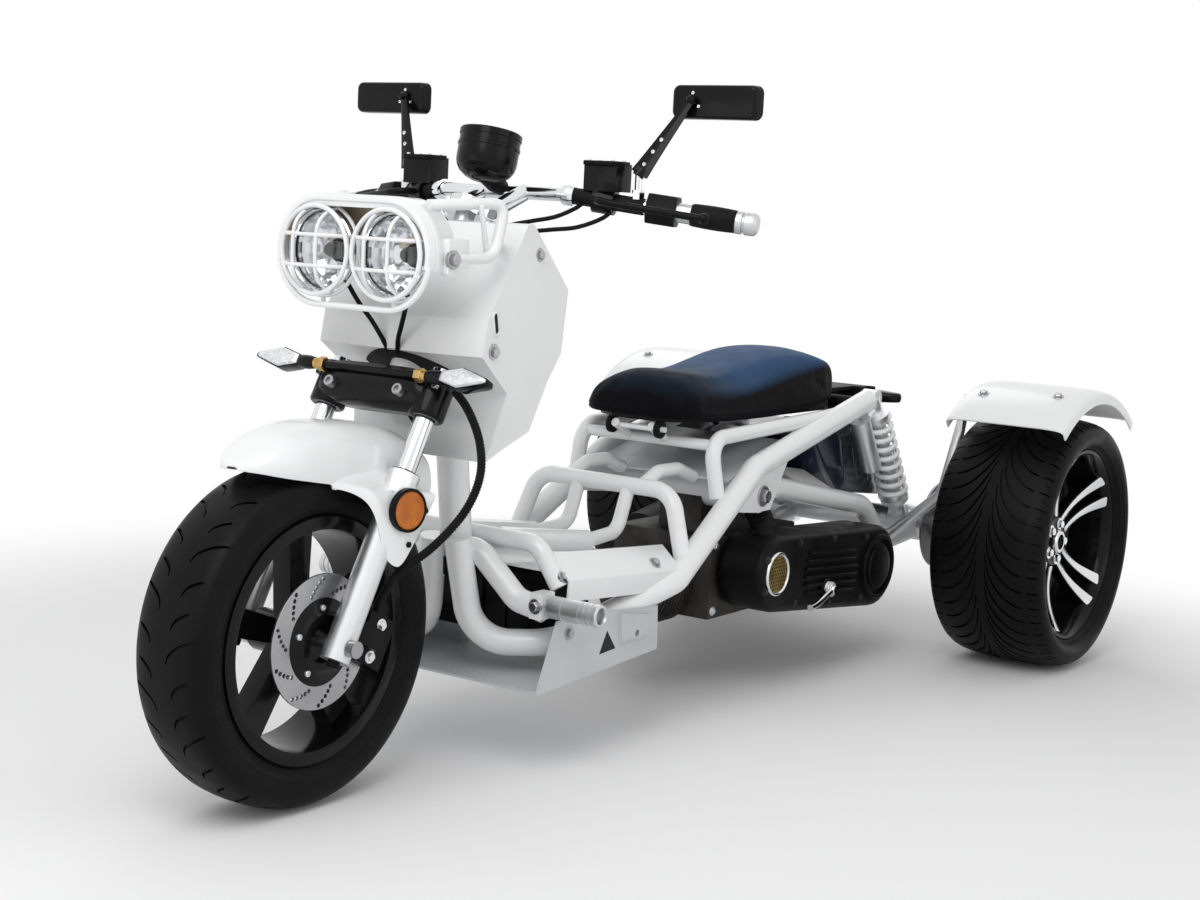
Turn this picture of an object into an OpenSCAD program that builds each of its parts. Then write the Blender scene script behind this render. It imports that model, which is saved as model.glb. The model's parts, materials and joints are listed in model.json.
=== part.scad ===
// Scooter trike: one steered wheel in front, two wide wheels behind, an open tube frame.
// Millimetres. +X points forward, +Y to the rider's left, +Z up, the floor is z = 0.
// The origin lies on the floor, halfway along the machine and in its middle plane.

/* [Overall] */
// Distance between the front and the rear axle
wheelbase = 1686; // [1500:1:2100]
// Distance between the middles of the rear tyres
rear_track = 820; // [740:1:1000]
// Slope of the steering axis from upright, degrees
rake = 28; // [24:0.5:32]

/* [Wheels] */
// Outer radius of the front tyre
front_tyre_r = 243; // [225:0.5:270]
// Width of the front tyre
front_tyre_w = 128; // [105:1:130]
// Radius of the front rim where the tyre sits
front_seat_r = 166; // [140:1:178]
// Outer radius of a rear tyre
rear_tyre_r = 248; // [225:0.5:300]
// Width of a rear tyre
rear_tyre_w = 235; // [180:1:260]
// Radius of a rear rim where the tyre sits
rear_seat_r = 178; // [150:1:195]
// Height of the lip outside the tyre's bead
rim_lip_h = 11; // [6:0.5:14]
// Thickness of that lip
rim_lip_t = 5; // [3:0.5:8]
// Thickness of the rim's ring under the tyre
rim_wall = 8; // [5:0.5:12]
// Number of spokes, or of spoke pairs behind
spokes = 5; // [3:1:8]
// Diameter of the front axle
front_axle_d = 15; // [12:0.5:20]
// Diameter of the rear half shafts
rear_axle_d = 28; // [22:0.5:36]
// Radius of the front brake disc
front_disc_r = 97; // [80:1:110]
// Radius of the rear brake disc
rear_disc_r = 88; // [70:1:105]
// Thickness of the brake discs
disc_t = 4; // [3:0.5:6]

/* [Fork] */
// Distance of a fork leg from the middle
fork_half = 96; // [94:0.5:110]
// Distance of the steering axis behind the legs
fork_offset = 32; // [20:1:45]
// Diameter of the fork tubes
fork_tube_d = 30; // [26:0.5:33]
// Diameter of the sliders
slider_d = 42; // [38:0.5:42]
// Length of a slider above the axle
slider_up = 262; // [220:1:290]
// Length of a slider below the axle
slider_down = 22; // [18:1:40]
// Height of the fork bridge's lower face up the leg
bridge_up = 376; // [350:1:400]
// Thickness of the fork bridge
bridge_t = 38; // [28:1:50]
// Diameter of the steering stem
stem_d = 30; // [24:0.5:34]
// Diameter of the head tube
head_d = 52; // [46:1:60]
// Length of the head tube
head_len = 165; // [120:1:180]

/* [Handlebar] */
// Height of the bar's middle over the floor
bar_z = 880; // [860:1:930]
// Distance of the bar's middle behind the front axle
bar_back = 446; // [430:1:470]
// Half of the bar's width over the bar ends
bar_half = 392; // [340:1:430]
// Diameter of the bar
bar_d = 22; // [20:0.5:25]
// Diameter of the grips
grip_d = 33; // [30:0.5:38]
// Width of a mirror
mirror_w = 150; // [110:1:170]
// Height of a mirror
mirror_h = 52; // [40:1:70]
// Diameter of the round gauge
gauge_d = 96; // [80:1:110]

/* [Frame tubes] */
// Diameter of the two long main rails
rail_d = 42; // [36:0.5:46]
// Diameter of the spine under the head tube
spine_d = 50; // [44:1:54]
// Diameter of the cradle arch that carries the foot pegs
cradle_d = 38; // [34:0.5:42]
// Diameter of the floor hoops
hoop_d = 29; // [25:0.5:32]
// Diameter of the thin step bars
step_d = 24; // [20:0.5:27]
// Diameter of the seat loop
loop_d = 27; // [24:0.5:30]
// Diameter of the swingarm tubes
arm_d = 40; // [36:0.5:42]

/* [Floor] */
// Length of the floor panel
floor_len = 318; // [260:1:340]
// Half of the floor panel's width
floor_half = 192; // [170:1:200]
// Thickness of the floor panel's sheet
floor_t = 4; // [2:0.5:6]
// Thickness of the skid plate
skid_t = 4; // [3:0.5:6]
// Height of the skid plate over the floor
skid_z = 133; // [110:1:150]

/* [Seat] */
// Length of the seat
seat_len = 560; // [480:1:600]
// Width of the seat at its widest
seat_w = 262; // [220:1:270]
// Height of the cushion over its base at its highest
seat_h = 96; // [70:1:110]

/* [Body panels] */
// Thickness of the front fairing's wall
fairing_wall = 5; // [4:0.5:7]
// Half of the fairing's width at its crease
fairing_half = 158; // [146:1:170]
// Thickness of the fenders' sheet
fender_t = 4; // [3:0.5:6]
// Radius of a headlight
lamp_r = 58; // [50:1:62]
// Distance of a headlight from the middle
lamp_half = 68; // [66:1:80]

/* [Hidden] */

// Clearances, laps and overruns that every piece shares
overrun = 1;          // how far a cut runs past what it cuts
lap = 1;              // how far a straight tube reaches into its bend
swell = 0.15;         // how much fuller a bend is than its straight tube
weld_gap = 0.05;      // room left where one tube is coped to another
running_fit = 0.06;   // radial room of a shaft in its bore
seat_gap = 0.3;       // room between curved faces that touch
move_gap = 6;         // room between pieces that move past each other
facets = 64;          // segments of a round
upright_share = 0.9;  // above this, a direction counts as upright
round_steps = 16;     // segments of a half round outline
corner_steps = 6;     // segments of a rounded corner

// Where the two axles lie
x_f = (wheelbase + rear_tyre_r - front_tyre_r) / 2;
x_r = x_f - wheelbase;
z_f = front_tyre_r;
z_r = rear_tyre_r;
rear_y = rear_track / 2;

// A place measured back from the front axle, or forward from the rear axle
function fore(p) = [x_f - p.x, p.y, p.z];
function aft(p) = [x_r + p.x, p.y, p.z];
function flip(p) = [p.x, -p.y, p.z];
function back_to_front(path) = [for (i = [len(path) - 1 : -1 : 0]) path[i]];
function unit(v) = v / norm(v);
function across(u) = unit(cross(u, abs(u.z) < upright_share ? [0, 0, 1] : [1, 0, 0]));
function turn(u, v) = acos(max(-1, min(1, u * v)));
function mix(a, b, share) = a + (b - a) * share;
function arc(c, r, from, to, steps) =
    [for (i = [0 : steps]) c + r * [cos(from + (to - from) * i / steps),
        sin(from + (to - from) * i / steps)]];
// The outline of a belt around two wheels
function belt(c1, r1, c2, r2, steps) =
    let (along = atan2(c2.y - c1.y, c2.x - c1.x), lean = acos((r1 - r2) / norm(c2 - c1)))
    concat(arc(c1, r1, along + lean, along + 360 - lean, steps), arc(c2, r2, along - lean, along + lean,
        steps));

module both_sides() {
    children();
    mirror([0, 1, 0]) children();
}

module place(o, x, y, z) {
    multmatrix([[x.x, y.x, z.x, o.x], [x.y, y.y, z.y, o.y], [x.z, y.z, z.z, o.z], [0, 0, 0, 1]]) children();
}

// A straight rod between two points
module rod(a, b, r) {
    z = unit(b - a);
    x = across(z);
    place(a, x, cross(z, x), z) cylinder(h = norm(b - a), r = r, $fn = facets);
}

// One round bend at point p, from direction u to direction v
module bend(p, u, v, bend_r, r) {
    n = unit(v - u * (u * v));
    reach = bend_r * tan(turn(u, v) / 2);
    place(p - u * reach + n * bend_r, -n, u, cross(-n, u))
        rotate_extrude(angle = turn(u, v), $fn = 2 * facets) translate([bend_r, 0]) circle(r = r,
            $fn = facets);
}

// A tube along a path of points, bent at each inner point
module pipe(path, bend_r, r) {
    last = len(path) - 1;
    dirs = [for (i = [0 : last - 1]) unit(path[i + 1] - path[i])];
    cut = [for (i = [0 : last])
        i == 0 || i == last ? 0 : bend_r * tan(turn(dirs[i - 1], dirs[i]) / 2) - lap];
    for (i = [0 : last - 1])
        rod(path[i] + dirs[i] * cut[i], path[i + 1] - dirs[i] * cut[i + 1], r);
    if (last > 1)
        for (i = [1 : last - 1])
            bend(path[i], dirs[i - 1], dirs[i], bend_r, r + swell);
}

// A plate in the middle plane's direction, its outline in x and z, between two values of y
module plate_y(outline, low, high) {
    translate([0, high, 0]) rotate([90, 0, 0]) linear_extrude(height = high - low) polygon(outline);
}

// A pin along y between two values of y, at a place in x and z
module pin_y(x, z, d, low, high) {
    translate([x, high, z]) rotate([90, 0, 0]) cylinder(h = high - low, d = d, $fn = facets);
}

// The frame of the fork: origin at the front axle, z up the legs, x forward across them
module in_fork() {
    translate([x_f, 0, z_f]) rotate([0, -rake, 0]) children();
}
function fork_point(p) = [x_f + p.x * cos(rake) - p.z * sin(rake), p.y,
    z_f + p.x * sin(rake) + p.z * cos(rake)];

module in_rear_wheel(side) {
    translate([x_r, side * rear_y, z_r]) children();
}

// Heights up the fork of what turns with it
bridge_top = bridge_up + bridge_t;
head_up = bridge_top + move_gap;
head_top = head_up + head_len;

// Tyres: one section, with radial places from the seat to the crown and places across the half width
bead_share = 0.78;
tyre_section_shares = [[0, 0.78], [0.16, 0.78], [0.30, 0.92], [0.48, 1.0], [0.66, 0.985], [0.80, 0.93],
    [0.90, 0.80], [0.96, 0.58], [0.99, 0.30], [1, 0]];

module tyre(r, w, seat_r) {
    half = [for (s = tyre_section_shares) [mix(seat_r + seat_gap, r, s.x), w / 2 * s.y]];
    other = [for (i = [len(half) - 2 : -1 : 0]) [half[i].x, -half[i].y]];
    rotate([90, 0, 0]) rotate_extrude($fn = 2 * facets) polygon(concat(half, other));
}

// The ring of a rim, with a lip on each side of the tyre's bead
module rim_ring(seat_r, w) {
    bead = w / 2 * bead_share + seat_gap;
    rotate([90, 0, 0]) rotate_extrude($fn = 2 * facets)
        polygon([[seat_r - rim_wall, -bead - rim_lip_t], [seat_r + rim_lip_h, -bead - rim_lip_t],
            [seat_r + rim_lip_h, -bead], [seat_r, -bead], [seat_r, bead], [seat_r + rim_lip_h, bead],
            [seat_r + rim_lip_h, bead + rim_lip_t], [seat_r - rim_wall, bead + rim_lip_t]]);
}

module front_tyre() {
    color("#1b1b1d") translate([x_f, 0, z_f]) tyre(front_tyre_r, front_tyre_w, front_seat_r);
}

front_hub_d = 62;
front_hub_half = 55;
front_spoke_t = 34;
front_spoke_root = 30;
front_spoke_tip = 46;
disc_face = 57;

module front_rim() {
    color("#111214") translate([x_f, 0, z_f]) difference() {
        union() {
            rim_ring(front_seat_r, front_tyre_w);
            pin_y(0, 0, front_hub_d, -front_hub_half, disc_face);
            for (i = [0 : spokes - 1])
                rotate([0, 360 / spokes * i, 0])
                    plate_y([[-front_spoke_root / 2, 0], [front_spoke_root / 2, 0],
                        [front_spoke_tip / 2, front_seat_r - rim_wall / 2],
                        [-front_spoke_tip / 2, front_seat_r - rim_wall / 2]],
                        -front_spoke_t / 2, front_spoke_t / 2);
        }
        pin_y(0, 0, front_axle_d + 2 * running_fit, -front_tyre_w, front_tyre_w);
    }
}

disc_bore_share = 0.30;
module front_brake_disc() {
    color("#b9babc") translate([x_f, 0, z_f]) difference() {
        pin_y(0, 0, 2 * front_disc_r, disc_face, disc_face + disc_t);
        pin_y(0, 0, 2 * front_disc_r * disc_bore_share, disc_face - overrun, disc_face + disc_t + overrun);
    }
}

rear_hub_d = 112;
rear_hub_out = 40;
rear_hub_in = 58;
rear_spoke_t = 30;
rear_spoke_root = [7, 23];
rear_spoke_tip = [15, 39];
rear_dish = 34;
rear_spoke_turn = 14;
rear_hub_over = 6;
spoke_sink_share = 0.75;

module rear_rim(side) {
    spoke_y = rear_tyre_w / 2 * bead_share - rear_dish;
    color("#141518") in_rear_wheel(side) difference() {
        union() {
            rim_ring(rear_seat_r, rear_tyre_w);
            mirror([0, side > 0 ? 0 : 1, 0]) pin_y(0, 0, rear_hub_d, -rear_hub_in, spoke_y + rear_hub_over);
            for (i = [0 : spokes - 1], s = [-1, 1])
                rotate([0, rear_spoke_turn + 360 / spokes * i, 0]) mirror([0, side > 0 ? 0 : 1, 0])
                    plate_y([[s * rear_spoke_root[0], 0], [s * rear_spoke_root[1], 0],
                        [s * rear_spoke_tip[1], rear_seat_r - rim_wall * spoke_sink_share],
                        [s * rear_spoke_tip[0], rear_seat_r - rim_wall * spoke_sink_share]],
                        spoke_y - rear_spoke_t, spoke_y);
        }
        pin_y(0, 0, rear_axle_d + 2 * weld_gap, -rear_tyre_w, rear_tyre_w);
    }
}

module rear_tyre(side) {
    color("#1b1b1d") in_rear_wheel(side) tyre(rear_tyre_r, rear_tyre_w, rear_seat_r);
}

// Rear axle: a housing across the middle with a bearing carrier at each end, a half shaft to each wheel
carrier_y = 150;
carrier_t = 46;
carrier_d = 78;
housing_d = 58;
shaft_inner_y = 20;
flange_d = 118;
flange_t = 12;

module rear_shaft(side) {
    flange_y = rear_y - rear_hub_in - flange_t;
    color("#9a9da0") mirror([0, side > 0 ? 0 : 1, 0]) translate([x_r, 0, z_r]) {
        pin_y(0, 0, rear_axle_d, shaft_inner_y, rear_y + rear_hub_out);
        pin_y(0, 0, flange_d, flange_y, flange_y + flange_t - weld_gap);
    }
}

module axle_housing() {
    color("#c9cbcd") translate([x_r, 0, z_r]) difference() {
        union() {
            pin_y(0, 0, housing_d, -carrier_y, carrier_y);
            both_sides() {
                pin_y(0, 0, carrier_d, carrier_y - carrier_t / 2, carrier_y + carrier_t / 2);
                rod([0, carrier_y, 0], shock_low - [x_r, 0, z_r], shock_eye_w / 2);
            }
        }
        translate([-x_r, 0, -z_r]) both_sides()
            pin_y(shock_low.x, shock_low.z, shock_eye_d + 2 * weld_gap, carrier_y - shock_eye_w,
                carrier_y + shock_eye_w);
        pin_y(0, 0, rear_axle_d + 2 * running_fit, -rear_track, rear_track);
    }
}

rear_disc_y = 205;
rear_disc_hub_d = 60;
module rear_brake_disc() {
    color("#8f9194") translate([x_r, 0, z_r]) difference() {
        union() {
            pin_y(0, 0, 2 * rear_disc_r, rear_disc_y, rear_disc_y + disc_t);
            pin_y(0, 0, rear_disc_hub_d, rear_disc_y - disc_t, rear_disc_y + flange_t);
        }
        pin_y(0, 0, rear_axle_d + 2 * weld_gap, rear_disc_y - flange_t, rear_disc_y + 2 * flange_t);
    }
}

// Fork and steering
bridge_front = 34;
bridge_tab = 30;

module steering_stem() {
    color("#8d9094") in_fork() translate([-fork_offset, 0, bridge_top])
        cylinder(h = stem_len, d = stem_d, $fn = facets);
}

module fork_bridge() {
    color("#0d0d0f") in_fork() difference() {
        union() {
            translate([-fork_offset, 0, bridge_up]) cylinder(h = bridge_t, d = head_d, $fn = facets);
            translate([-bridge_tab, -fork_half, bridge_up])
                cube([bridge_tab + bridge_front, 2 * fork_half, bridge_t]);
            both_sides() translate([0, fork_half, bridge_up])
                cylinder(h = bridge_t, d = fork_tube_d + bridge_tab, $fn = facets);
        }
        both_sides() translate([0, fork_half, bridge_up - overrun])
            cylinder(h = bridge_t + 2 * overrun, d = fork_tube_d + 2 * weld_gap, $fn = facets);
    }
}

fork_tube_over = 10;
slider_sink = 60;
module fork_tubes() {
    color("#d5d7da") both_sides() in_fork() translate([0, fork_half, slider_up - slider_sink])
        cylinder(h = bridge_top + fork_tube_over - slider_up + slider_sink, d = fork_tube_d, $fn = facets);
}

slider_collar_d = 48;
slider_collar_h = 34;
module fork_sliders() {
    color("#c4c6c8") both_sides() in_fork() difference() {
        union() {
            translate([0, fork_half, -slider_down]) cylinder(h = slider_up + slider_down, d = slider_d,
                $fn = facets);
            translate([0, fork_half, slider_up - slider_collar_h])
                cylinder(h = slider_collar_h, d = slider_collar_d, $fn = facets);
        }
        pin_y(0, 0, front_axle_d + 2 * weld_gap, fork_half - slider_d, fork_half + slider_d);
        translate([0, fork_half, slider_up - slider_sink - seat_gap])
            cylinder(h = slider_sink + overrun, d = fork_tube_d + 2 * weld_gap, $fn = facets);
    }
}

axle_nut_d = 24;
axle_nut_t = 12;
module front_axle() {
    color("#a7a9ab") translate([x_f, 0, z_f]) {
        pin_y(0, 0, front_axle_d, -fork_half - slider_d / 2, fork_half + slider_d / 2 + axle_nut_t);
        pin_y(0, 0, axle_nut_d, fork_half + slider_d / 2 + seat_gap, fork_half + slider_d / 2 + axle_nut_t);
    }
}

// Front fender: an arched sheet, its centre a little behind the axle, with a plate down to each slider
fender_back = 50;
fender_inner_r = 299;
fender_half = 66;
fender_drop = 40;
fender_round = 26;
fender_from = 57;
fender_to = 127;
stay_y = 69;
stay_t = 3;
stay_outline_shares = [[-0.30, 1.14], [0.02, 1.14], [0.02, 0.58], [-0.20, 0.56], [-0.36, 0.80]];

module front_fender() {
    low = fender_inner_r - fender_drop;
    half = [[low, fender_half], [fender_inner_r - fender_t, fender_half - fender_round], [fender_inner_r, 0]];
    skin = [[low, fender_half + fender_t], [fender_inner_r, fender_half + fender_t - fender_round],
        [fender_inner_r + fender_t, 0]];
    color("#f4f5f6") {
        translate([x_f - fender_back, 0, z_f]) rotate([90, 0, 0]) rotate([0, 0, fender_from])
            rotate_extrude(angle = fender_to - fender_from, $fn = 2 * facets)
                polygon(concat(half, [for (i = [1 : -1 : 0]) [half[i].x, -half[i].y]],
                    [for (i = [0 : 1]) [skin[i].x, -skin[i].y]], back_to_front(skin)));
        both_sides() difference() {
            in_fork() plate_y([for (q = stay_outline_shares) q * slider_up], stay_y, stay_y + stay_t);
            in_fork() translate([0, fork_half, -slider_down])
                cylinder(h = slider_up + 2 * slider_down, d = slider_collar_d + 2 * weld_gap, $fn = facets);
        }
    }
}

// Handlebar and what sits on it, each placed by its share of the way out to the bar's end
bar_drop = 30;
bar_sweep = 92;
bar_flat_half = 120;
bar_bend_r = 60;
bar_mid = fore([bar_back, 0, bar_z]);
bar_knee = bar_mid + [0, bar_flat_half, 0];
bar_tip = bar_mid + [-bar_sweep, bar_half, -bar_drop];
riser_drop = 22;
stem_len = (bar_z - z_f + fork_offset * sin(rake)) / cos(rake) - bridge_top - riser_drop;
riser_half = 42;
riser_d = 26;
top_clamp_t = 24;
top_clamp_d = 62;
function on_bar(share) = mix(bar_knee, bar_tip, share);
bar_dir = unit(bar_tip - bar_knee);

module along_bar(share) {
    x = across(bar_dir);
    place(on_bar(share), x, cross(bar_dir, x), bar_dir) children();
}

module handlebar() {
    clamp = fork_point([-fork_offset, 0, bridge_top + stem_len]);
    color("#cfd1d4") difference() {
        union() {
            pipe([flip(bar_tip), flip(bar_knee), bar_knee, bar_tip], bar_bend_r, bar_d / 2);
            both_sides() rod(clamp + [0, riser_half, -top_clamp_t / 2], bar_mid + [0, riser_half, 0],
                riser_d / 2);
            in_fork() translate([-fork_offset, 0, bridge_top + stem_len - top_clamp_t]) {
                cylinder(h = top_clamp_t, d = top_clamp_d, $fn = facets);
                translate([-top_clamp_d / 2, -riser_half, 0]) cube([top_clamp_d / 2, 2 * riser_half,
                    top_clamp_t]);
            }
        }
        in_fork() translate([-fork_offset, 0, bridge_top])
            cylinder(h = stem_len + overrun, d = stem_d + 2 * weld_gap, $fn = facets);
    }
}

grip_from_share = 0.62;
grip_to_share = 0.94;
bar_end_d = 30;
module hand_grips() {
    length = norm(bar_tip - bar_knee);
    color("#17181a") both_sides() difference() {
        along_bar(grip_from_share) {
            cylinder(h = length * (grip_to_share - grip_from_share), d = grip_d, $fn = facets);
            cylinder(h = length * (1 - grip_from_share) + bar_end_t, d = bar_end_d, $fn = facets);
        }
        along_bar(0) cylinder(h = length + weld_gap, d = bar_d + 2 * weld_gap, $fn = facets);
    }
}
bar_end_t = 14;

pod_share = 0.46;
pod_len = 46;
pod_d = 52;
module switch_pods() {
    color("#141517") both_sides() along_bar(pod_share) difference() {
        cylinder(h = pod_len, d = pod_d, $fn = 6);
        translate([0, 0, -overrun]) cylinder(h = pod_len + 2 * overrun, d = bar_d + 2 * weld_gap,
            $fn = facets);
    }
}

master_share = 0.22;
master_len = 34;
master_d = 40;
reservoir = [44, 58, 42];
reservoir_up = 56;
reservoir_back = 4;
module master_cylinders() {
    centre = on_bar(master_share);
    color("#101113") both_sides() difference() {
        union() {
            along_bar(master_share) translate([0, 0, -master_len / 2]) cylinder(h = master_len,
                d = master_d, $fn = facets);
            translate(centre + [-reservoir.x / 2 - reservoir_back, -reservoir.y / 2,
                reservoir_up - reservoir.z])
                cube(reservoir);
        }
        along_bar(0) cylinder(h = norm(bar_tip - bar_knee), d = bar_d + 2 * weld_gap, $fn = facets);
    }
}

lever_fore = 52;
lever_d = 11;
lever_ball_d = 17;
lever_knee = 12;
lever_tip_share = 0.86;
lever_bend_r = 24;
module brake_levers() {
    root = on_bar(master_share);
    tip = on_bar(lever_tip_share) + [lever_fore, 0, 0];
    color("#0f1012") both_sides() difference() {
        union() {
            pipe([root, root + [lever_fore, lever_knee, 0], tip], lever_bend_r, lever_d / 2);
            translate(tip) sphere(d = lever_ball_d, $fn = facets);
        }
        along_bar(0) cylinder(h = norm(bar_tip - bar_knee), d = master_d + 2 * weld_gap, $fn = facets);
    }
}

// Mirrors: an arm from the bar and a flat case
mirror_share = 0.40;
mirror_arm_t = 9;
mirror_up = 160;
mirror_out = 92;
mirror_back = 62;
mirror_t = 20;
mirror_stem_d = 11;
mirror_stem_h = 48;
module mirrors() {
    foot = on_bar(mirror_share);
    neck = foot + [0, 0, mirror_stem_h];
    head = foot + [-mirror_back, mirror_out, mirror_up];
    color("#151618") both_sides() {
        difference() {
            rod(foot, neck, mirror_stem_d / 2);
            along_bar(0) cylinder(h = norm(bar_tip - bar_knee), d = bar_d + 2 * weld_gap, $fn = facets);
        }
        rod(neck - [0, 0, mirror_arm_t], head, mirror_arm_t / 2);
        translate(head - [mirror_t / 2, mirror_w / 2, mirror_h / 2]) cube([mirror_t, mirror_w, mirror_h]);
    }
}

gauge_h = 60;
gauge_tilt = 12;
gauge_up = 52;
gauge_fore = 48;
gauge_stalk_d = 20;
module gauge() {
    top_clamp = fork_point([-fork_offset, 0, bridge_top + stem_len]);
    foot = bar_mid + [gauge_fore, 0, gauge_up - riser_drop];
    color("#131416") {
        translate(foot) rotate([0, -gauge_tilt, 0]) cylinder(h = gauge_h, d = gauge_d, $fn = facets);
        difference() {
            rod(top_clamp, foot + [0, 0, gauge_h / 2], gauge_stalk_d / 2);
            in_fork() translate([-fork_offset, 0, bridge_top])
                cylinder(h = stem_len + weld_gap, d = top_clamp_d + gauge_stalk_d, $fn = facets);
        }
    }
}

// Front turn signals on a bar across the front of the bridge, each a lens that tapers outward
signal_up_share = 0.58;
signal_stalk_d = 12;
signal_inner = 134;
signal_deep = 40;
signal_len = 90;
signal_h = 34;
signal_outline_shares = [[0, 0.24], [0.42, 0.5], [1, 0.1], [1, -0.1], [0.42, -0.5], [0, -0.24]];
module front_signals() {
    bar = fork_point([bridge_front + signal_stalk_d / 2 + seat_gap, 0,
        bridge_up + bridge_t * signal_up_share]);
    color("#1a1b1d") {
        rod(bar - [0, signal_inner + overrun, 0], bar + [0, signal_inner + overrun, 0], signal_stalk_d / 2);
        both_sides() translate(bar + [-signal_deep / 2, signal_inner, 0]) rotate([90, 0, 90])
            linear_extrude(height = signal_deep)
                polygon([for (q = signal_outline_shares) [q.x * signal_len, q.y * signal_h]]);
    }
}

caliper = [58, 46, 74];
caliper_back = 84;
caliper_up = 34;
caliper_slot = 5;
caliper_lug_h = 30;
module brake_caliper() {
    lug_y = fork_half - slider_d / 2;
    color("#2a2b2d") in_fork() difference() {
        union() {
            translate([-caliper_back, disc_face + disc_t / 2, caliper_up]) cube(caliper, center = true);
            translate([-caliper_back, lug_y, caliper_up - caliper_lug_h / 2])
                cube([caliper_back, slider_d / 2, caliper_lug_h]);
        }
        pin_y(0, 0, 2 * front_disc_r + 2 * caliper_slot, disc_face - caliper_slot,
            disc_face + disc_t + caliper_slot);
        translate([0, fork_half, -slider_down]) cylinder(h = slider_up, d = slider_d + 2 * weld_gap,
            $fn = facets);
    }
}

// The corrugated brake hose, from the bridge out and down to the caliper, in world places
hose_d = 13;
hose_sides = 10;
hose_route = [[660, 132, 592], [662, 152, 576], [666, 173, 552], [669, 188, 524], [671, 194, 490],
    [676, 190, 458], [683, 177, 426], [696, 160, 397], [713, 142, 371], [732, 124, 350], [748, 110, 332],
    [754, 98, 312], [753, 86, 294], [750, 78, 278]];
function ring(o, u, r, sides) =
    let (x = across(u), y = cross(u,
        x)) [for (k = [0 : sides - 1]) o + r * (cos(360 * k / sides) * x + sin(360 * k / sides) * y)];
module sweep(path, r, sides) {
    last = len(path) - 1;
    dirs = [for (i = [0 : last]) unit(path[min(i + 1, last)] - path[max(i - 1, 0)])];
    points = [for (i = [0 : last]) each ring(path[i], dirs[i], r, sides)];
    walls = [for (i = [0 : last - 1], k = [0 : sides - 1])
        [i * sides + k, i * sides + (k + 1) % sides, (i + 1) * sides + (k + 1) % sides, (i + 1) * sides + k]];
    caps = [[for (k = [sides - 1 : -1 : 0]) k], [for (k = [0 : sides - 1]) last * sides + k]];
    polyhedron(points, concat([for (w = walls) [w[3], w[2], w[1], w[0]]], [back_to_front(caps[0]),
        back_to_front(caps[1])]));
}
module brake_hose() {
    color("#16171a") sweep(hose_route, hose_d / 2, hose_sides);
}

// Seat: a padded cushion on a plastic base that hinges at its nose
seat_nose = aft([856, 0, 498]);
seat_front_w_share = 0.76;
seat_side_round = 60;
seat_base_t = 14;
seat_base_inset = 12;
// How far back along the seat, and how high
seat_profile_shares = [[0, 0.14], [0.03, 0.45], [0.09, 0.67], [0.17, 0.70], [0.32, 0.62], [0.50, 0.77],
    [0.64, 0.92],
    [0.77, 1], [0.92, 0.98], [0.98, 0.83], [1, 0.5]];
hinge_set = 22;
hinge_x = seat_nose.x - hinge_set;
hinge_z = 484;
hinge_d = 10;
hinge_lug_t = 8;
hinge_lug_d = 16;
hinge_half = 46;
hinge_boss_d = 32;

module seat_plan(inset) {
    rear = seat_nose.x - seat_len + inset;
    half = seat_w / 2 - inset;
    nose = half * seat_front_w_share;
    polygon(concat([[seat_nose.x - inset, -nose / 2], [seat_nose.x - inset, nose / 2],
            [seat_nose.x - inset - seat_side_round / 2, nose], [seat_nose.x - inset - 2 * seat_side_round,
                half]],
        arc([rear + seat_side_round, half - seat_side_round], seat_side_round, 90, 180, corner_steps),
        arc([rear + seat_side_round, -half + seat_side_round], seat_side_round, 180, 270, corner_steps),
        [[seat_nose.x - inset - 2 * seat_side_round, -half], [seat_nose.x - inset - seat_side_round / 2,
            -nose]]));
}
module seat_cushion() {
    z = seat_nose.z + seat_base_t;
    color("#1d2433") intersection() {
        translate([0, 0, z]) linear_extrude(height = 2 * seat_h) seat_plan(0);
        plate_y(concat([[seat_nose.x - seat_len, z], [seat_nose.x, z]],
            [for (q = seat_profile_shares) [seat_nose.x - q.x * seat_len, z + q.y * seat_h]]), -seat_w,
                seat_w);
    }
}
module seat_base() {
    color("#121214") difference() {
        union() {
            translate([0, 0, seat_nose.z]) linear_extrude(height = seat_base_t) seat_plan(seat_base_inset);
            both_sides() pin_y(hinge_x, hinge_z, hinge_boss_d, hinge_half + seat_gap,
                hinge_half + seat_gap + hinge_lug_t);
        }
        pin_y(hinge_x, hinge_z, hinge_d + 2 * running_fit, -seat_w, seat_w);
    }
}

// Frame tubes of the left side, in places from the axle that they follow
rail_tail = aft([250, 150, 513]);
rail_knee = aft([690, 163, 418]);
rail_floor = fore([715, 187, 255]);
rail_sill = fore([415, 158, 192]);
rail_toe = fore([358, 45, 184]);
rail_top = fore([338, 24, 345]);
rail_bend_r = 66;
rail_path = [rail_tail, rail_knee, rail_floor, rail_sill, rail_toe, rail_top];

head_low = fork_point([-fork_offset, 0, head_up]);
head_high = fork_point([-fork_offset, 0, head_top]);
spine_top = (head_low + head_high) / 2;
spine_knee = fore([335, 0, 565]);
spine_foot = fore([366, 0, 328]);
spine_bend_r = 90;
spine_past_share = 1.2;

cradle_top = spine_foot;
cradle_out_step = [-8, 118, -68];
cradle_tip_step = [-12, 168, -78];
cradle_flat = 46;
cradle_out = spine_foot + cradle_out_step;
cradle_tip = spine_foot + cradle_tip_step;
cradle_bend_r = 35;
peg_lug = [34, 22, 40];
peg_off = [8, 0, 10];

module cradle(grow) {
    shoulder = cradle_top + [0, cradle_flat, 0];
    pipe([flip(cradle_tip), flip(cradle_out), flip(shoulder), shoulder, cradle_out, cradle_tip],
        cradle_bend_r, cradle_d / 2 + grow);
}

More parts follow.
